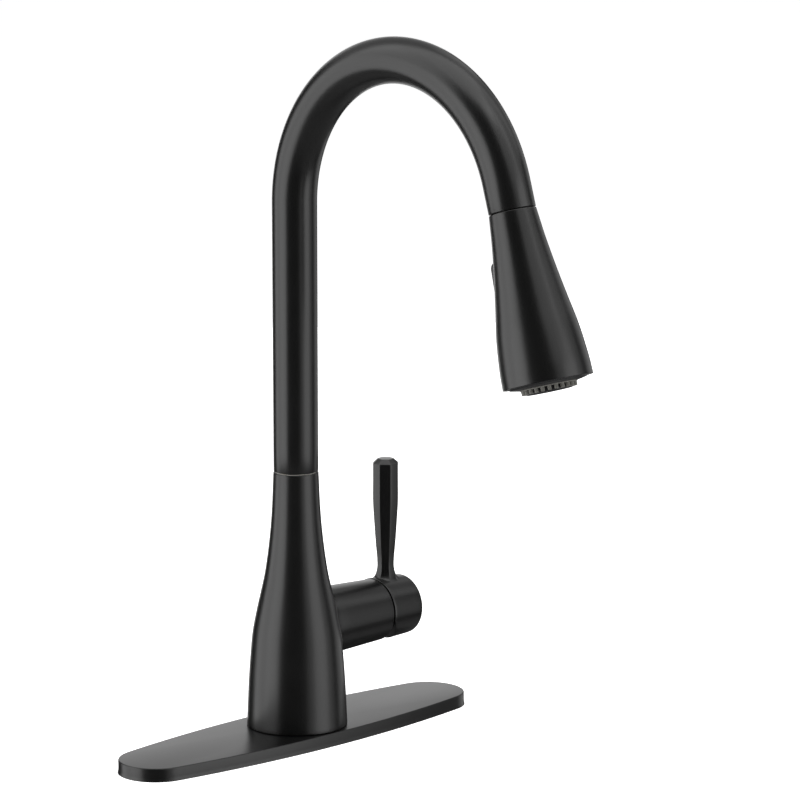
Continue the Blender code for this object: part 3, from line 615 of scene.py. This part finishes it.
class FAUCET_OT_body(PieceOperator):
    """Body casting, with the sleeve that holds the valve"""
    bl_idname = "faucet.body"
    bl_label = "Body"

    def execute(self, context):
        size = context.scene.faucet_body
        neck, neck_floor = 0.0109, 0.119
        outside = [(r, z) for r, z in BODY_LINE if BODY_FOOT + size.edge < z < BODY_TOP - size.edge]
        top = rounded([(0.0120, BODY_TOP, 0), (BODY_OUTLINE[-1][0], BODY_TOP, size.edge), (*outside[-1], 0)])
        foot = rounded([(*outside[0], 0), (BODY_OUTLINE[0][0], BODY_FOOT, size.edge), (0.0265, BODY_FOOT, 0)])
        inner_heights = [0.012 + 0.106 * k / 14 for k in range(15)]
        inner = [(radius_at(BODY_LINE, z) - size.wall, z) for z in inner_heights]
        profile = [*outside, *top[::-1], (neck, BODY_TOP), (neck, neck_floor), *inner[::-1],
                   (inner[0][0], BODY_FOOT), *foot[::-1]]
        mesh = mesh_from(turned(profile), "body_casting")
        show("body_casting", mesh, "coating", "base", "body_black", "faucet_body")
        sleeve = mesh_from(loft(self.sleeve_rings(size)), "valve_sleeve")
        show("valve_sleeve", sleeve, "coating", "base", "body_black", "faucet_body")
        return {"FINISHED"}

    def sleeve_rings(self, size):
        """Rings about the hub's axis, from inside the body to the sleeve's end and back down its bore."""
        angles = [2 * pi * i / FINE_STEPS for i in range(FINE_STEPS)]
        straight = 0.022
        taper = (size.sleeve_root - size.sleeve_mouth) / (size.sleeve_end - straight)

        def sleeve_radius(x):
            return size.sleeve_root - taper * (max(x, straight) - straight)

        def surface(angle, radius):
            """Where a line along X, at a radius and angle about the hub, leaves the body."""
            y = radius * sin(angle)
            return sqrt(radius_at(BODY_LINE, HUB_Z + radius * cos(angle)) ** 2 - y ** 2)

        def place(angle, radius, x):
            return (x, radius * sin(angle), HUB_Z + radius * cos(angle))

        rings = [[place(a, 0.0, 0.0155) for a in angles], [place(a, 0.0190, 0.0155) for a in angles]]
        rings.append([place(a, 0.0196, surface(a, size.sleeve_root) - 0.001) for a in angles])
        fillet = size.sleeve_fillet
        for k in range(7):
            turn = pi / 2 * k / 6
            ring = []
            for a in angles:
                radius = size.sleeve_root + fillet * (1 - sin(turn))
                ring.append(place(a, radius, surface(a, radius) - 0.00005 + fillet * (1 - cos(turn))))
            rings.append(ring)
        stations = 16
        edge = 0.0004
        for k in range(1, stations + 1):
            ring = []
            for a in angles:
                start = surface(a, size.sleeve_root) + fillet
                x = start + (size.sleeve_end - edge - start) * k / stations
                ring.append(place(a, sleeve_radius(x), x))
            rings.append(ring)
        mouth, bore, step, seat_radius, seat = 0.0180, 0.0168, 0.0473, 0.0129, 0.025
        end = rounded([(size.sleeve_mouth, size.sleeve_end - edge, 0),
                       (size.sleeve_mouth, size.sleeve_end, edge), (mouth, size.sleeve_end, 0)])[1:]
        inside = [(bore, size.sleeve_end - mouth + bore), (bore, step), (seat_radius, step),
                  (seat_radius, seat), (0, seat)]
        rings += [[place(a, r, x) for a in angles] for r, x in end + inside]
        return rings


class FAUCET_OT_bonnet(PieceOperator):
    """Ball-shaped bonnet that closes the gap under the handle's cap"""
    bl_idname = "faucet.bonnet"
    bl_label = "Bonnet"

    def execute(self, context):
        ball, wall = 0.02414, 0.0012
        mouth_line = 0.0619 - 0.0180 + 0.0004
        start, end = asin(0.0179 / ball), radians(38)
        outer = [start + (end - start) * k / 20 for k in range(21)]
        inner = [end + (asin(0.0154 / (ball - wall)) - end) * k / 8 for k in range(9)]
        profile = [(0.0165, 0.0563), (0.0165, 0.0165 + mouth_line)]
        profile += [(ball * sin(a), PIVOT_X + ball * cos(a)) for a in outer]
        profile += [((ball - wall) * sin(a), PIVOT_X + (ball - wall) * cos(a)) for a in inner]
        profile += [(0.0154, 0.0563)]
        mesh = mesh_from(turned(profile), "bonnet_dome", ALONG_HUB)
        show("bonnet_dome", mesh, "coating", "base", "body_black", "bonnet_ring")
        return {"FINISHED"}


class FAUCET_OT_handle(PieceOperator):
    """Handle: round cap with a slanted relief under it, and a faceted lever"""
    bl_idname = "faucet.handle"
    bl_label = "Handle"

    CAVITY = 0.02475                # ball-shaped hollow about the pivot
    RIM_X = 0.0626
    END_X = 0.087
    RELIEF_START = 0.004            # below the hub's axis
    RELIEF_SLOPE = tan(radians(27))
    LEVER_TOP = 0.1571

    def execute(self, context):
        size = context.scene.faucet_handle
        cap = mesh_from(loft(self.cap_rings(size)), "cap")
        lever = mesh_from(loft(self.lever_rings(size)), "lever")
        mesh = combined(cap, "UNION", lever)
        show("handle_casting", mesh, "coating", "handle", "handle_black", "handle")
        return {"FINISHED"}

    def cap_radius(self, size, x):
        share = (x - self.RIM_X) / (self.END_X - self.RIM_X)
        return size.rim_radius + (size.end_radius - size.rim_radius) * share

    def rim_at(self, radius, angle):
        """X of the cut rim at a radius and an angle from straight up."""
        return self.RIM_X + max(0.0, -radius * cos(angle) - self.RELIEF_START) * self.RELIEF_SLOPE

    def cap_rings(self, size):
        """Rings from the middle of the end, over the outside and round the rim, into the hollow."""
        angles = [2 * pi * i / FINE_STEPS for i in range(FINE_STEPS)]
        lip = 0.0003

        def place(angle, radius, x):
            return (x, radius * sin(angle), HUB_Z + radius * cos(angle))

        rings = [[place(a, 0.0, self.END_X) for a in angles]]
        for k in range(9):
            turn = pi / 2 * (1 - k / 8)
            radius = size.end_radius - size.edge + size.edge * cos(turn)
            rings.append([place(a, radius, self.END_X - size.edge + size.edge * sin(turn)) for a in angles])
        stations = 14
        outer = {a: self.rim_at(size.rim_radius, a) for a in angles}
        for k in range(1, stations + 1):
            ring = []
            for a in angles:
                start = self.END_X - size.edge
                x = start + (outer[a] + lip - start) * k / stations
                ring.append(place(a, self.cap_radius(size, x), x))
            rings.append(ring)
        for inset, share in ((0.3 * lip, 0.3 * lip), (lip, 0.0)):
            rings.append([
                place(a, self.cap_radius(size, outer[a]) - inset, outer[a] + share) for a in angles])
        inner = {a: self.hollow_edge(size, a) for a in angles}
        hollow = 14
        socket = 0.0040
        for k in range(hollow + 1):
            ring = []
            for a in angles:
                first = asin(inner[a] / self.CAVITY)
                turn = first + (asin(socket / self.CAVITY) - first) * k / hollow
                ring.append(place(a, self.CAVITY * sin(turn), PIVOT_X + self.CAVITY * cos(turn)))
            rings.append(ring)
        floor = PIVOT_X + 0.0335
        return rings + [[place(a, socket, floor) for a in angles], [place(a, 0.0, floor) for a in angles]]

    def hollow_edge(self, size, angle):
        """Radius at which the cut rim meets the ball-shaped hollow."""
        low, high = 0.005, size.rim_radius
        for _ in range(40):
            middle = (low + high) / 2
            if (self.rim_at(middle, angle) - PIVOT_X) ** 2 + middle ** 2 < self.CAVITY ** 2:
                low = middle
            else:
                high = middle
        return low

    def lever_rings(self, size):
        """Rings from under the cap's skin up the flared foot to the chamfered top."""
        points = 160
        angles = [2 * pi * i / points for i in range(points)]
        diagonal = (1 + 0.39) / sqrt(2)             # diagonal flats, as a share of the straight ones

        def octagon(angle, roundness):
            """Distance to an eight-sided outline of half width 1; roundness 1 makes it a circle."""
            crispness = 90
            total = 0.0
            for k in range(8):
                facing = cos(angle - k * pi / 4) / (diagonal if k % 2 else 1.0)
                total += max(0.0, facing) ** crispness
            return (total ** (-1 / crispness)) * (1 - roundness) + roundness

        def on_cap(angle, radius, depth):
            """A point on the cap's outside, or a depth under it, at a radius from the lever's axis."""
            x = size.lever_x + radius * cos(angle)
            y = radius * sin(angle)
            return (x, y, HUB_Z + sqrt((self.cap_radius(size, x) - depth) ** 2 - y ** 2))

        sink = 0.0004
        flare_top = 0.0930
        facets = 0.15                               # roundness of the shaft, whose flats are slightly convex
        rings = [[on_cap(a, share * size.lever_foot, sink) for a in angles] for share in (0.0, 0.4, 0.8, 1.0)]
        flare = 14
        for k in range(flare + 1):
            turn = pi / 2 * k / flare
            half = size.lever_waist + (size.lever_foot - size.lever_waist) * (1 - sin(turn))
            roundness = facets + (1 - facets) * max(0.0, 1 - 1.2 * k / flare) ** 2
            ring = []
            for a in angles:
                x, y, low = on_cap(a, half * octagon(a, roundness), 0.00005)
                ring.append((x, y, low + (flare_top - low) * (1 - cos(turn))))
            rings.append(ring)
        shaft = smooth_line([
            (size.lever_waist, flare_top), (0.0053, 0.0985), (0.0060, 0.1060), (0.0069, 0.1190),
            (size.lever_head, 0.1310), (size.lever_head, 0.1440)], 30)[1:]
        edge = 0.0003
        top = rounded([(size.lever_head, 0.1450, 0), (size.lever_head, 0.1544, edge),
                       (0.0046, self.LEVER_TOP, edge), (0.0001, self.LEVER_TOP, 0)])
        outline = [(a, octagon(a, facets)) for a in angles]
        for half, z in shaft + top + [(0.0, self.LEVER_TOP)]:
            rings.append([(size.lever_x + half * far * cos(a), half * far * sin(a), z) for a, far in outline])
        return rings


def spout_stations(size, start, end, bend_steps, before_tip=0.0):
    """Centre points and ways of the spout's line: the riser, the arch and the tail."""
    rise_top = SPOUT_END.z - size.arch_radius * sin(ARCH_SWEEP) - size.tail * WAND_WAY.z
    stations = [(Vector((0, 0, start + (rise_top - start) * k / 12)), Vector((0, 0, 1))) for k in range(12)]
    centre = Vector((0, -size.arch_radius, rise_top))
    sweep = ARCH_SWEEP - max(before_tip - size.tail, 0) / size.arch_radius
    for k in range(bend_steps + 1):
        angle = sweep * k / bend_steps
        place = centre + size.arch_radius * Vector((0, cos(angle), sin(angle)))
        stations.append((place, Vector((0, -sin(angle), cos(angle)))))
    if before_tip < size.tail:
        stations.append((SPOUT_END - (before_tip + end) * WAND_WAY, WAND_WAY))
    return stations


class FAUCET_OT_spout(PieceOperator):
    """Spout tube: riser, round arch and short tail, bent from one tube"""
    bl_idname = "faucet.spout"
    bl_label = "Spout"

    def execute(self, context):
        size = context.scene.faucet_spout
        lip = 0.0004
        sides = 96
        stations = spout_stations(size, TUBE_FOOT + lip, lip, 120)
        foot, up = Vector((0, 0, TUBE_FOOT)), Vector((0, 0, 1))
        outside = [(foot, up, size.radius - lip), (foot + 0.3 * lip * up, up, size.radius - 0.3 * lip)]
        outside += [(point, way, size.radius) for point, way in stations]
        outside += [(SPOUT_END - 0.3 * lip * WAND_WAY, WAND_WAY, size.radius - 0.3 * lip),
                    (SPOUT_END, WAND_WAY, size.radius - lip)]
        inside = [(point, way, size.bore) for point, way in [(foot, up), *stations, (SPOUT_END, WAND_WAY)]]
        rings = [circle_on(*station, sides) for station in outside + inside[::-1]]
        mesh = mesh_from(loft(rings, closed=True), "spout_bend")
        show("spout_bend", mesh, "coating", "spout", "spout_black", "spout_tube")
        return {"FINISHED"}


class FAUCET_OT_spray_hose(PieceOperator):
    """Braided hose inside the spout, which slides out with the wand"""
    bl_idname = "faucet.spray_hose"
    bl_label = "Spray hose"

    def execute(self, context):
        size = context.scene.faucet_spout
        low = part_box("spray_hose")[0][2]
        hose_end = 0.0325                       # before the end of the spout
        stretch = 0.005                         # the length of hose that is drawn out
        route = [point for point, _ in spout_stations(size, low, 0.0, 60, hose_end)]
        last = route[-1]
        start = last - (route[-1] - route[-2]).normalized() * stretch
        held = [point for point in route if (point - last).length > stretch] + [start]
        drawn = [start.lerp(last, k / 40) for k in range(41)]
        show("braided_spray_hose", self.hose("braided_spray_hose", held), "nylon", "spout", "hose_braid",
             "spray_hose")
        end = show("drawn_hose_end", self.hose("drawn_hose_end", drawn), "nylon", None, "hose_braid",
                   "spray_hose")
        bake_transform(end)
        return {"FINISHED"}

    def hose(self, name, route):
        """A length of hose along a route."""
        curve = bpy.data.curves.new("hose_route", "CURVE")
        curve.dimensions = "3D"
        spline = curve.splines.new("POLY")
        spline.points.add(len(route) - 1)
        for point, place in zip(spline.points, route):
            point.co = (*place, 1)
        return clean(grown(curve, sweep_tree("nylon"), {"Radius": 0.006, "Sides": 32}), name)


class FAUCET_OT_wand(PieceOperator):
    """Shell of the spray wand, with the rocker and its trim on its back"""
    bl_idname = "faucet.wand"
    bl_label = "Spray wand"

    TRIM_LENGTH, TRIM_WIDTH, TRIM_CORNER = 0.0260, 0.0186, 0.0058
    ROCKER_CORNER = 0.0040
    ROCKER_FOOT, POCKET_FLOOR, TRIM_FOOT = 0.0150, 0.0136, 0.0120      # off the wand's axis

    def execute(self, context):
        size = context.scene.faucet_wand
        rim = WAND_OUTLINE[-1]
        outside = [(r, s) for r, s in WAND_LINE if WAND_OUTLINE[0][1] + 0.0004 < s < rim[1] - 0.0006]
        lip = rounded([(*outside[-1], 0), (*rim, 0.0005), (rim[0] - size.wall, rim[1], 0.0003),
                       (rim[0] - size.wall, 0.0900, 0)])
        inside = [(r - size.wall, s) for r, s in WAND_LINE[::-2] if 0.006 < s < 0.0890]
        mouth = 0.0088
        head = rounded([(inside[-1][0], 0.0027, 0), (mouth, 0.0027, 0), (mouth, WAND_OUTLINE[0][1], 0.0003),
                        (WAND_OUTLINE[0][0], WAND_OUTLINE[0][1], 0.0004), (*outside[0], 0)])
        profile = [*outside[1:-1], *lip, *inside, *head]
        shell = mesh_from(turned(profile, 160), "shell")
        window = mesh_from(loft([
            self.outline(size, self.TRIM_LENGTH + 2 * GAP, self.TRIM_WIDTH + 2 * GAP, self.TRIM_CORNER + GAP,
                         self.level(depth)) for depth in (0.0085, 0.03)]), "window")
        mesh = combined(shell, "DIFFERENCE", window)
        mesh.transform(ALONG_WAND)
        show("wand_casing", mesh, "coating", "wand", "wand_black", "wand_shell")
        show("rocker_trim", mesh_from(self.trim(size), "rocker_trim", ALONG_WAND), "plastic", "wand",
             "black_plastic", "toggle_bezel")
        show("spray_rocker", mesh_from(self.rocker(size), "spray_rocker", ALONG_WAND), "plastic", "rocker",
             "black_plastic", "spray_toggle")
        return {"FINISHED"}

    def outline(self, size, long, wide, corner, height):
        """Rounded rectangle about the rocker's middle. height(across, along) is off the wand's axis."""
        def spot(quarter, share):
            side, end = ((1, 1), (-1, 1), (-1, -1), (1, -1))[quarter % 4]
            angle = pi / 2 * (quarter + share)
            return Vector((side * (wide / 2 - corner) + corner * cos(angle),
                           end * (long / 2 - corner) + corner * sin(angle)))

        spots = []
        for quarter in range(4):
            spots += [spot(quarter, k / 10) for k in range(11)]
            spots += [spot(quarter, 1).lerp(spot(quarter + 1, 0), k / 10) for k in range(1, 10)]
        return [(x, -height(x, along), size.rocker_at + along) for x, along in spots]

    def level(self, depth):
        """A height that is the same everywhere."""
        return lambda x, along: depth

    def on_wand(self, size, proud):
        """The height of the wand's outside, moved out by proud."""
        return lambda x, along: sqrt((radius_at(WAND_LINE, size.rocker_at + along) + proud) ** 2 - x ** 2)

    def trim(self, size):
        """A dished frame in the wand's window, its outside following the wand."""
        trim = self.TRIM_LENGTH, self.TRIM_WIDTH, self.TRIM_CORNER
        opening = size.rocker_length + 0.0018, size.rocker_width + 0.0008, self.ROCKER_CORNER + 0.0004
        edge = 0.0002
        return loft([
            self.outline(size, *trim, self.level(self.TRIM_FOOT)),
            self.outline(size, *trim, self.on_wand(size, -0.5 * edge)),
            self.outline(size, *[v - edge for v in trim], self.on_wand(size, 0.5 * edge)),
            self.outline(size, *[v + edge for v in opening], self.on_wand(size, 0.5 * edge)),
            self.outline(size, *opening, self.on_wand(size, -0.5 * edge)),
            self.outline(size, *opening, self.level(self.POCKET_FLOOR)),
        ])

    def rocker(self, size):
        """A rocker with a flat face that leans out towards the spray face, and round edges."""
        long, wide = size.rocker_length, size.rocker_width
        edge, crown = 0.0010, 0.0001

        def face(drop):
            def height(x, along):
                dome = crown * (1 - (2 * x / wide) ** 2) * (1 - (2 * along / long) ** 2)
                return size.rocker_face + size.rocker_slope * along + dome - drop
            return height

        rings = [self.outline(size, long - 0.0004, wide - 0.0004, self.ROCKER_CORNER - 0.0002,
                              self.level(self.ROCKER_FOOT)),
                 self.outline(size, long, wide, self.ROCKER_CORNER, self.level(self.ROCKER_FOOT + 0.0002))]
        for k in range(7):
            turn = pi / 2 * k / 6
            inset = edge * (1 - cos(turn))
            rings.append(self.outline(size, long - 2 * inset, wide - 2 * inset, self.ROCKER_CORNER - inset,
                                      face(edge * (1 - sin(turn)))))
        for share in (0.75, 0.5, 0.25, 0.05):
            rings.append(self.outline(size, share * (long - 2 * edge), share * (wide - 2 * edge),
                                      share * (self.ROCKER_CORNER - edge), face(0)))
        return loft(rings)


class FAUCET_OT_spray_face(PieceOperator):
    """Spray face with its ring of silicone nozzles and the aerator in the middle"""
    bl_idname = "faucet.spray_face"
    bl_label = "Spray face"

    def execute(self, context):
        size = context.scene.faucet_wand
        face, outer, inner, aerator = 0.0221, 0.0158, 0.0129, 0.0090
        collar, ring = 0.0994, 0.0142           # tip of the collar inside the nozzles, radius of their circle
        profile = rounded([
            (face, 0.0856, 0), (face, 0.0938, 0.0002), (0.0212, 0.0952, 0.0004),
            (outer + GAP, 0.0962, 0.0002), (outer + GAP, 0.0905, 0), (inner - GAP, 0.0905, 0),
            (inner - GAP, collar, 0.0003),
            (0.0112, collar, 0.0004), (aerator + GAP, 0.0972, 0.0002), (aerator + GAP, 0.0856, 0)])
        show("spray_face_disc", mesh_from(turned(profile), "spray_face_disc", ALONG_WAND), "plastic", "wand",
             "black_plastic", "spray_face")
        mat = mesh_from(turned(rounded([
            (outer, 0.0908, 0), (outer, 0.0966, 0.0003), (inner, 0.0966, 0.0003), (inner, 0.0908, 0),
        ])), "mat")
        seed = mesh_from(turned([(0, 0.0022), (0.0004, 0.0022), (0.0004, 0.0035), (0.0009, 0.0035),
                                 (0.0011, 0.0033), (0.0012, 0.0), (0, 0.0)], 24), "nub")
        nubs = grown(seed, ring_tree("silicone"), {"Count": size.nozzles, "Radius": ring, "Height": 0.0955})
        mesh = joined([mat, clean(nubs, "nubs")], "nozzle_mat")
        mesh.transform(ALONG_WAND)
        show("nozzle_mat", mesh, "silicone", "wand", "grey_silicone", "nozzle_ring")
        mesh_radius, wire = 0.0078, 0.0003      # of the aerator's screen
        screen = mesh_from(turned([
            (0, 0.0880), (aerator, 0.0880), (aerator, 0.0965), (0.0087, 0.0968), (0.0081, 0.0974),
            (mesh_radius, 0.0974), (mesh_radius, 0.0955), (0, 0.0955)], 96), "housing")
        hoops = []
        for k in range(1, 6):
            r = mesh_radius * k / 5.5
            section = [(r, 0.0960), (r, 0.0954), (r - wire, 0.0954), (r - wire, 0.0960)]
            hoops.append(mesh_from(turned(section, 64), "hoop"))
        bar = bmesh.new()
        bmesh.ops.create_cube(bar, size=1)
        bmesh.ops.scale(bar, vec=(0.0068, wire, 2 * wire), verts=bar.verts)
        spokes = grown(mesh_from(bar, "bar"), ring_tree("plastic"),
                       {"Count": 12, "Radius": 0.0043, "Height": 0.0957})
        mesh = joined([screen, *hoops, clean(spokes, "spokes")], "aerator_screen")
        mesh.transform(ALONG_WAND)
        show("aerator_screen", mesh, "plastic", "wand", "black_plastic", "aerator")
        return {"FINISHED"}


class FAUCET_OT_inner_finishes(PieceOperator):
    """Finishes of the frame's pieces that show as they are"""
    bl_idname = "faucet.inner_finishes"
    bl_label = "Inner pieces"

    WORN = {
        "rubber": ["plate_liner", "body_gasket", "rubber_washer", "seat_seal", "swivel_o_ring"],
        "brass": ["threaded_shank", "mounting_nut", "cold_fitting", "hot_fitting", "outlet_fitting",
                  "cartridge_nut", "spout_spigot", "hose_connector"],
        "steel": ["steel_washer", "nut_screw_1", "nut_screw_2", "swivel_clip", "pivot_pin", "cartridge_stem",
                  "handle_set_screw"],
        "copper": ["cold_pipe", "hot_pipe", "outlet_pipe"],
        "acetal": ["swivel_washer", "cartridge_housing", "cartridge_carrier", "swivel_bearing_upper",
                   "swivel_bearing_lower", "check_valve", "wand_waterway", "diverter_spool"],
        "ceramic": ["fixed_disc", "moving_disc"],
        "plastic": ["screw_plug", "dock_insert", "hose_coupling", "wand_neck"],
    }

    def execute(self, context):
        for finish, names in self.WORN.items():
            for name in names:
                mesh = frame["nodes"][name].data
                mesh.materials.clear()
                mesh.materials.append(FINISHES[finish])
        return {"FINISHED"}


# ---------------------------------------------------------------- stage

class FAUCET_OT_stage(PieceOperator):
    """Pale floor, soft studio light and the camera"""
    bl_idname = "faucet.stage"
    bl_label = "Stage"

    AWAY = 1.6                      # of the softboxes from the faucet
    # way round from the camera's side (positive to its right), height, spread across and up, radiance
    SOFTBOXES = {
        "left_wall": (-63, 0, 36, 50, 2.05),
        "left_wall_end": (-99, 0, 36, 50, 1.45),
        "right_wall": (63, 0, 36, 50, 1.6),
        "right_wall_start": (36, 0, 18, 50, 0.55),
        "right_wall_end": (90, 0, 18, 50, 0.5),
        "back_wall_left": (-171, 0, 36, 50, 0.85),
        "back_wall_right": (135, 0, 36, 50, 0.5),
        "high_left": (-90, 46, 45, 40, 1.4),
        "high_right": (45, 46, 45, 40, 0.85),
        "high_right_end": (90, 46, 45, 40, 0.7),
        "high_back_left": (-158, 46, 80, 40, 0.3),
        "high_back_right": (135, 46, 45, 40, 0.3),
        "overhead": (0, 86, 50, 50, 1.5),
        "floor_bounce": (0, -88, 110, 110, 0.15),
    }

    def execute(self, context):
        scene = context.scene
        stage = scene.faucet_stage
        scene.view_settings.view_transform = "Standard"
        self.add_floor()
        turn = Matrix.Rotation(stage.azimuth, 4, "Z") @ Matrix.Rotation(pi / 2 - stage.elevation, 4, "X")
        aim = Vector((0.0223, -0.0640, 0.2066))
        camera = bpy.data.cameras.new("studio_camera")
        camera.lens = stage.focal
        camera.sensor_width = 36
        holder = bpy.data.objects.new("studio_camera", camera)
        holder.matrix_world = Matrix.Translation(aim) @ turn @ Matrix.Translation((0, 0, stage.distance))
        scene.collection.objects.link(holder)
        scene.camera = holder
        for name, placing in self.SOFTBOXES.items():
            self.add_light(scene, stage, name, *placing)
        self.add_world(scene)
        return {"FINISHED"}

    def add_floor(self):
        bm = bmesh.new()
        bmesh.ops.create_grid(bm, x_segments=1, y_segments=1, size=6)
        mesh = mesh_from(bm, "floor")
        floor = bpy.data.objects.new("floor", mesh)
        bpy.context.scene.collection.objects.link(floor)
        # matt white painted board, lit from within so that it stays pale
        material = bpy.data.materials.new("matt_white_board")
        material.use_nodes = True
        shader = material.node_tree.nodes["Principled BSDF"]
        shader.inputs["Base Color"].default_value = (0.8, 0.8, 0.8, 1)
        shader.inputs["Roughness"].default_value = 0.9
        shader.inputs["Emission Color"].default_value = (1, 1, 1, 1)
        shader.inputs["Emission Strength"].default_value = 1.0
        mesh.materials.append(material)
        floor.visible_glossy = False
        floor.visible_shadow = False

    def add_light(self, scene, stage, name, way, height, across_deg, up_deg, radiance):
        light = bpy.data.lights.new(name, "AREA")
        light.shape = "RECTANGLE"
        light.size = 2 * self.AWAY * tan(radians(across_deg / 2))
        light.size_y = 2 * self.AWAY * tan(radians(up_deg / 2))
        light.energy = radiance * 4 * light.size * light.size_y
        lamp = bpy.data.objects.new(name, light)
        middle = Vector((0, -0.05, 0.2))
        around = stage.azimuth + radians(way)
        spoke = Vector((sin(around) * cos(radians(height)), -cos(around) * cos(radians(height)),
                        sin(radians(height))))
        lamp.location = middle + spoke * self.AWAY
        lamp.rotation_euler = spoke.to_track_quat("Z", "Y").to_euler()
        lamp.visible_camera = False
        scene.collection.objects.link(lamp)

    def add_world(self, scene):
        """White where the camera sees it, and dark for everything else."""
        world = bpy.data.worlds.new("white_cove")
        world.use_nodes = True
        tree = world.node_tree
        tree.nodes.clear()
        seen = add_node(tree, "ShaderNodeLightPath").outputs["Is Camera Ray"]
        white = add_node(tree, "ShaderNodeBackground", {"Color": (1, 1, 1, 1), "Strength": 1.0})
        dark = add_node(tree, "ShaderNodeBackground", {"Color": (0, 0, 0, 1), "Strength": 0.0})
        mix = add_node(tree, "ShaderNodeMixShader", None, {0: seen, 1: dark.outputs[0], 2: white.outputs[0]})
        add_node(tree, "ShaderNodeOutputWorld", None, {"Surface": mix.outputs[0]})
        scene.world = world


class FAUCET_PT_pieces(bpy.types.Panel):
    """Lists the faucet's pieces and their sizes"""
    bl_label = "Faucet"
    bl_idname = "FAUCET_PT_pieces"
    bl_space_type = "VIEW_3D"
    bl_region_type = "UI"
    bl_category = "Faucet"

    def draw(self, context):
        for settings in SETTINGS:
            group = getattr(context.scene, settings)
            box = self.layout.box()
            for name in group.bl_rna.properties.keys():
                if name not in ("rna_type", "name"):
                    box.prop(group, name)
        for operator in OPERATORS:
            self.layout.operator(operator.bl_idname)


OPERATORS = [
    FAUCET_OT_stage, FAUCET_OT_deck_plate, FAUCET_OT_body, FAUCET_OT_bonnet, FAUCET_OT_handle,
    FAUCET_OT_spout, FAUCET_OT_spray_hose, FAUCET_OT_wand, FAUCET_OT_spray_face, FAUCET_OT_inner_finishes,
]


def register():
    for group in SETTINGS.values():
        bpy.utils.register_class(group)
    for name, group in SETTINGS.items():
        setattr(bpy.types.Scene, name, PointerProperty(type=group))
    for operator in OPERATORS:
        bpy.utils.register_class(operator)
    bpy.utils.register_class(FAUCET_PT_pieces)


def unregister():
    bpy.utils.unregister_class(FAUCET_PT_pieces)
    for operator in reversed(OPERATORS):
        bpy.utils.unregister_class(operator)
    for name, group in SETTINGS.items():
        delattr(bpy.types.Scene, name)
        bpy.utils.unregister_class(group)


def main():
    register()
    make_finishes(bpy.context.scene.faucet_finish)
    for operator in OPERATORS:
        family, name = operator.bl_idname.split(".")
        getattr(getattr(bpy.ops, family), name)()


if __name__ == "__main__":
    main()
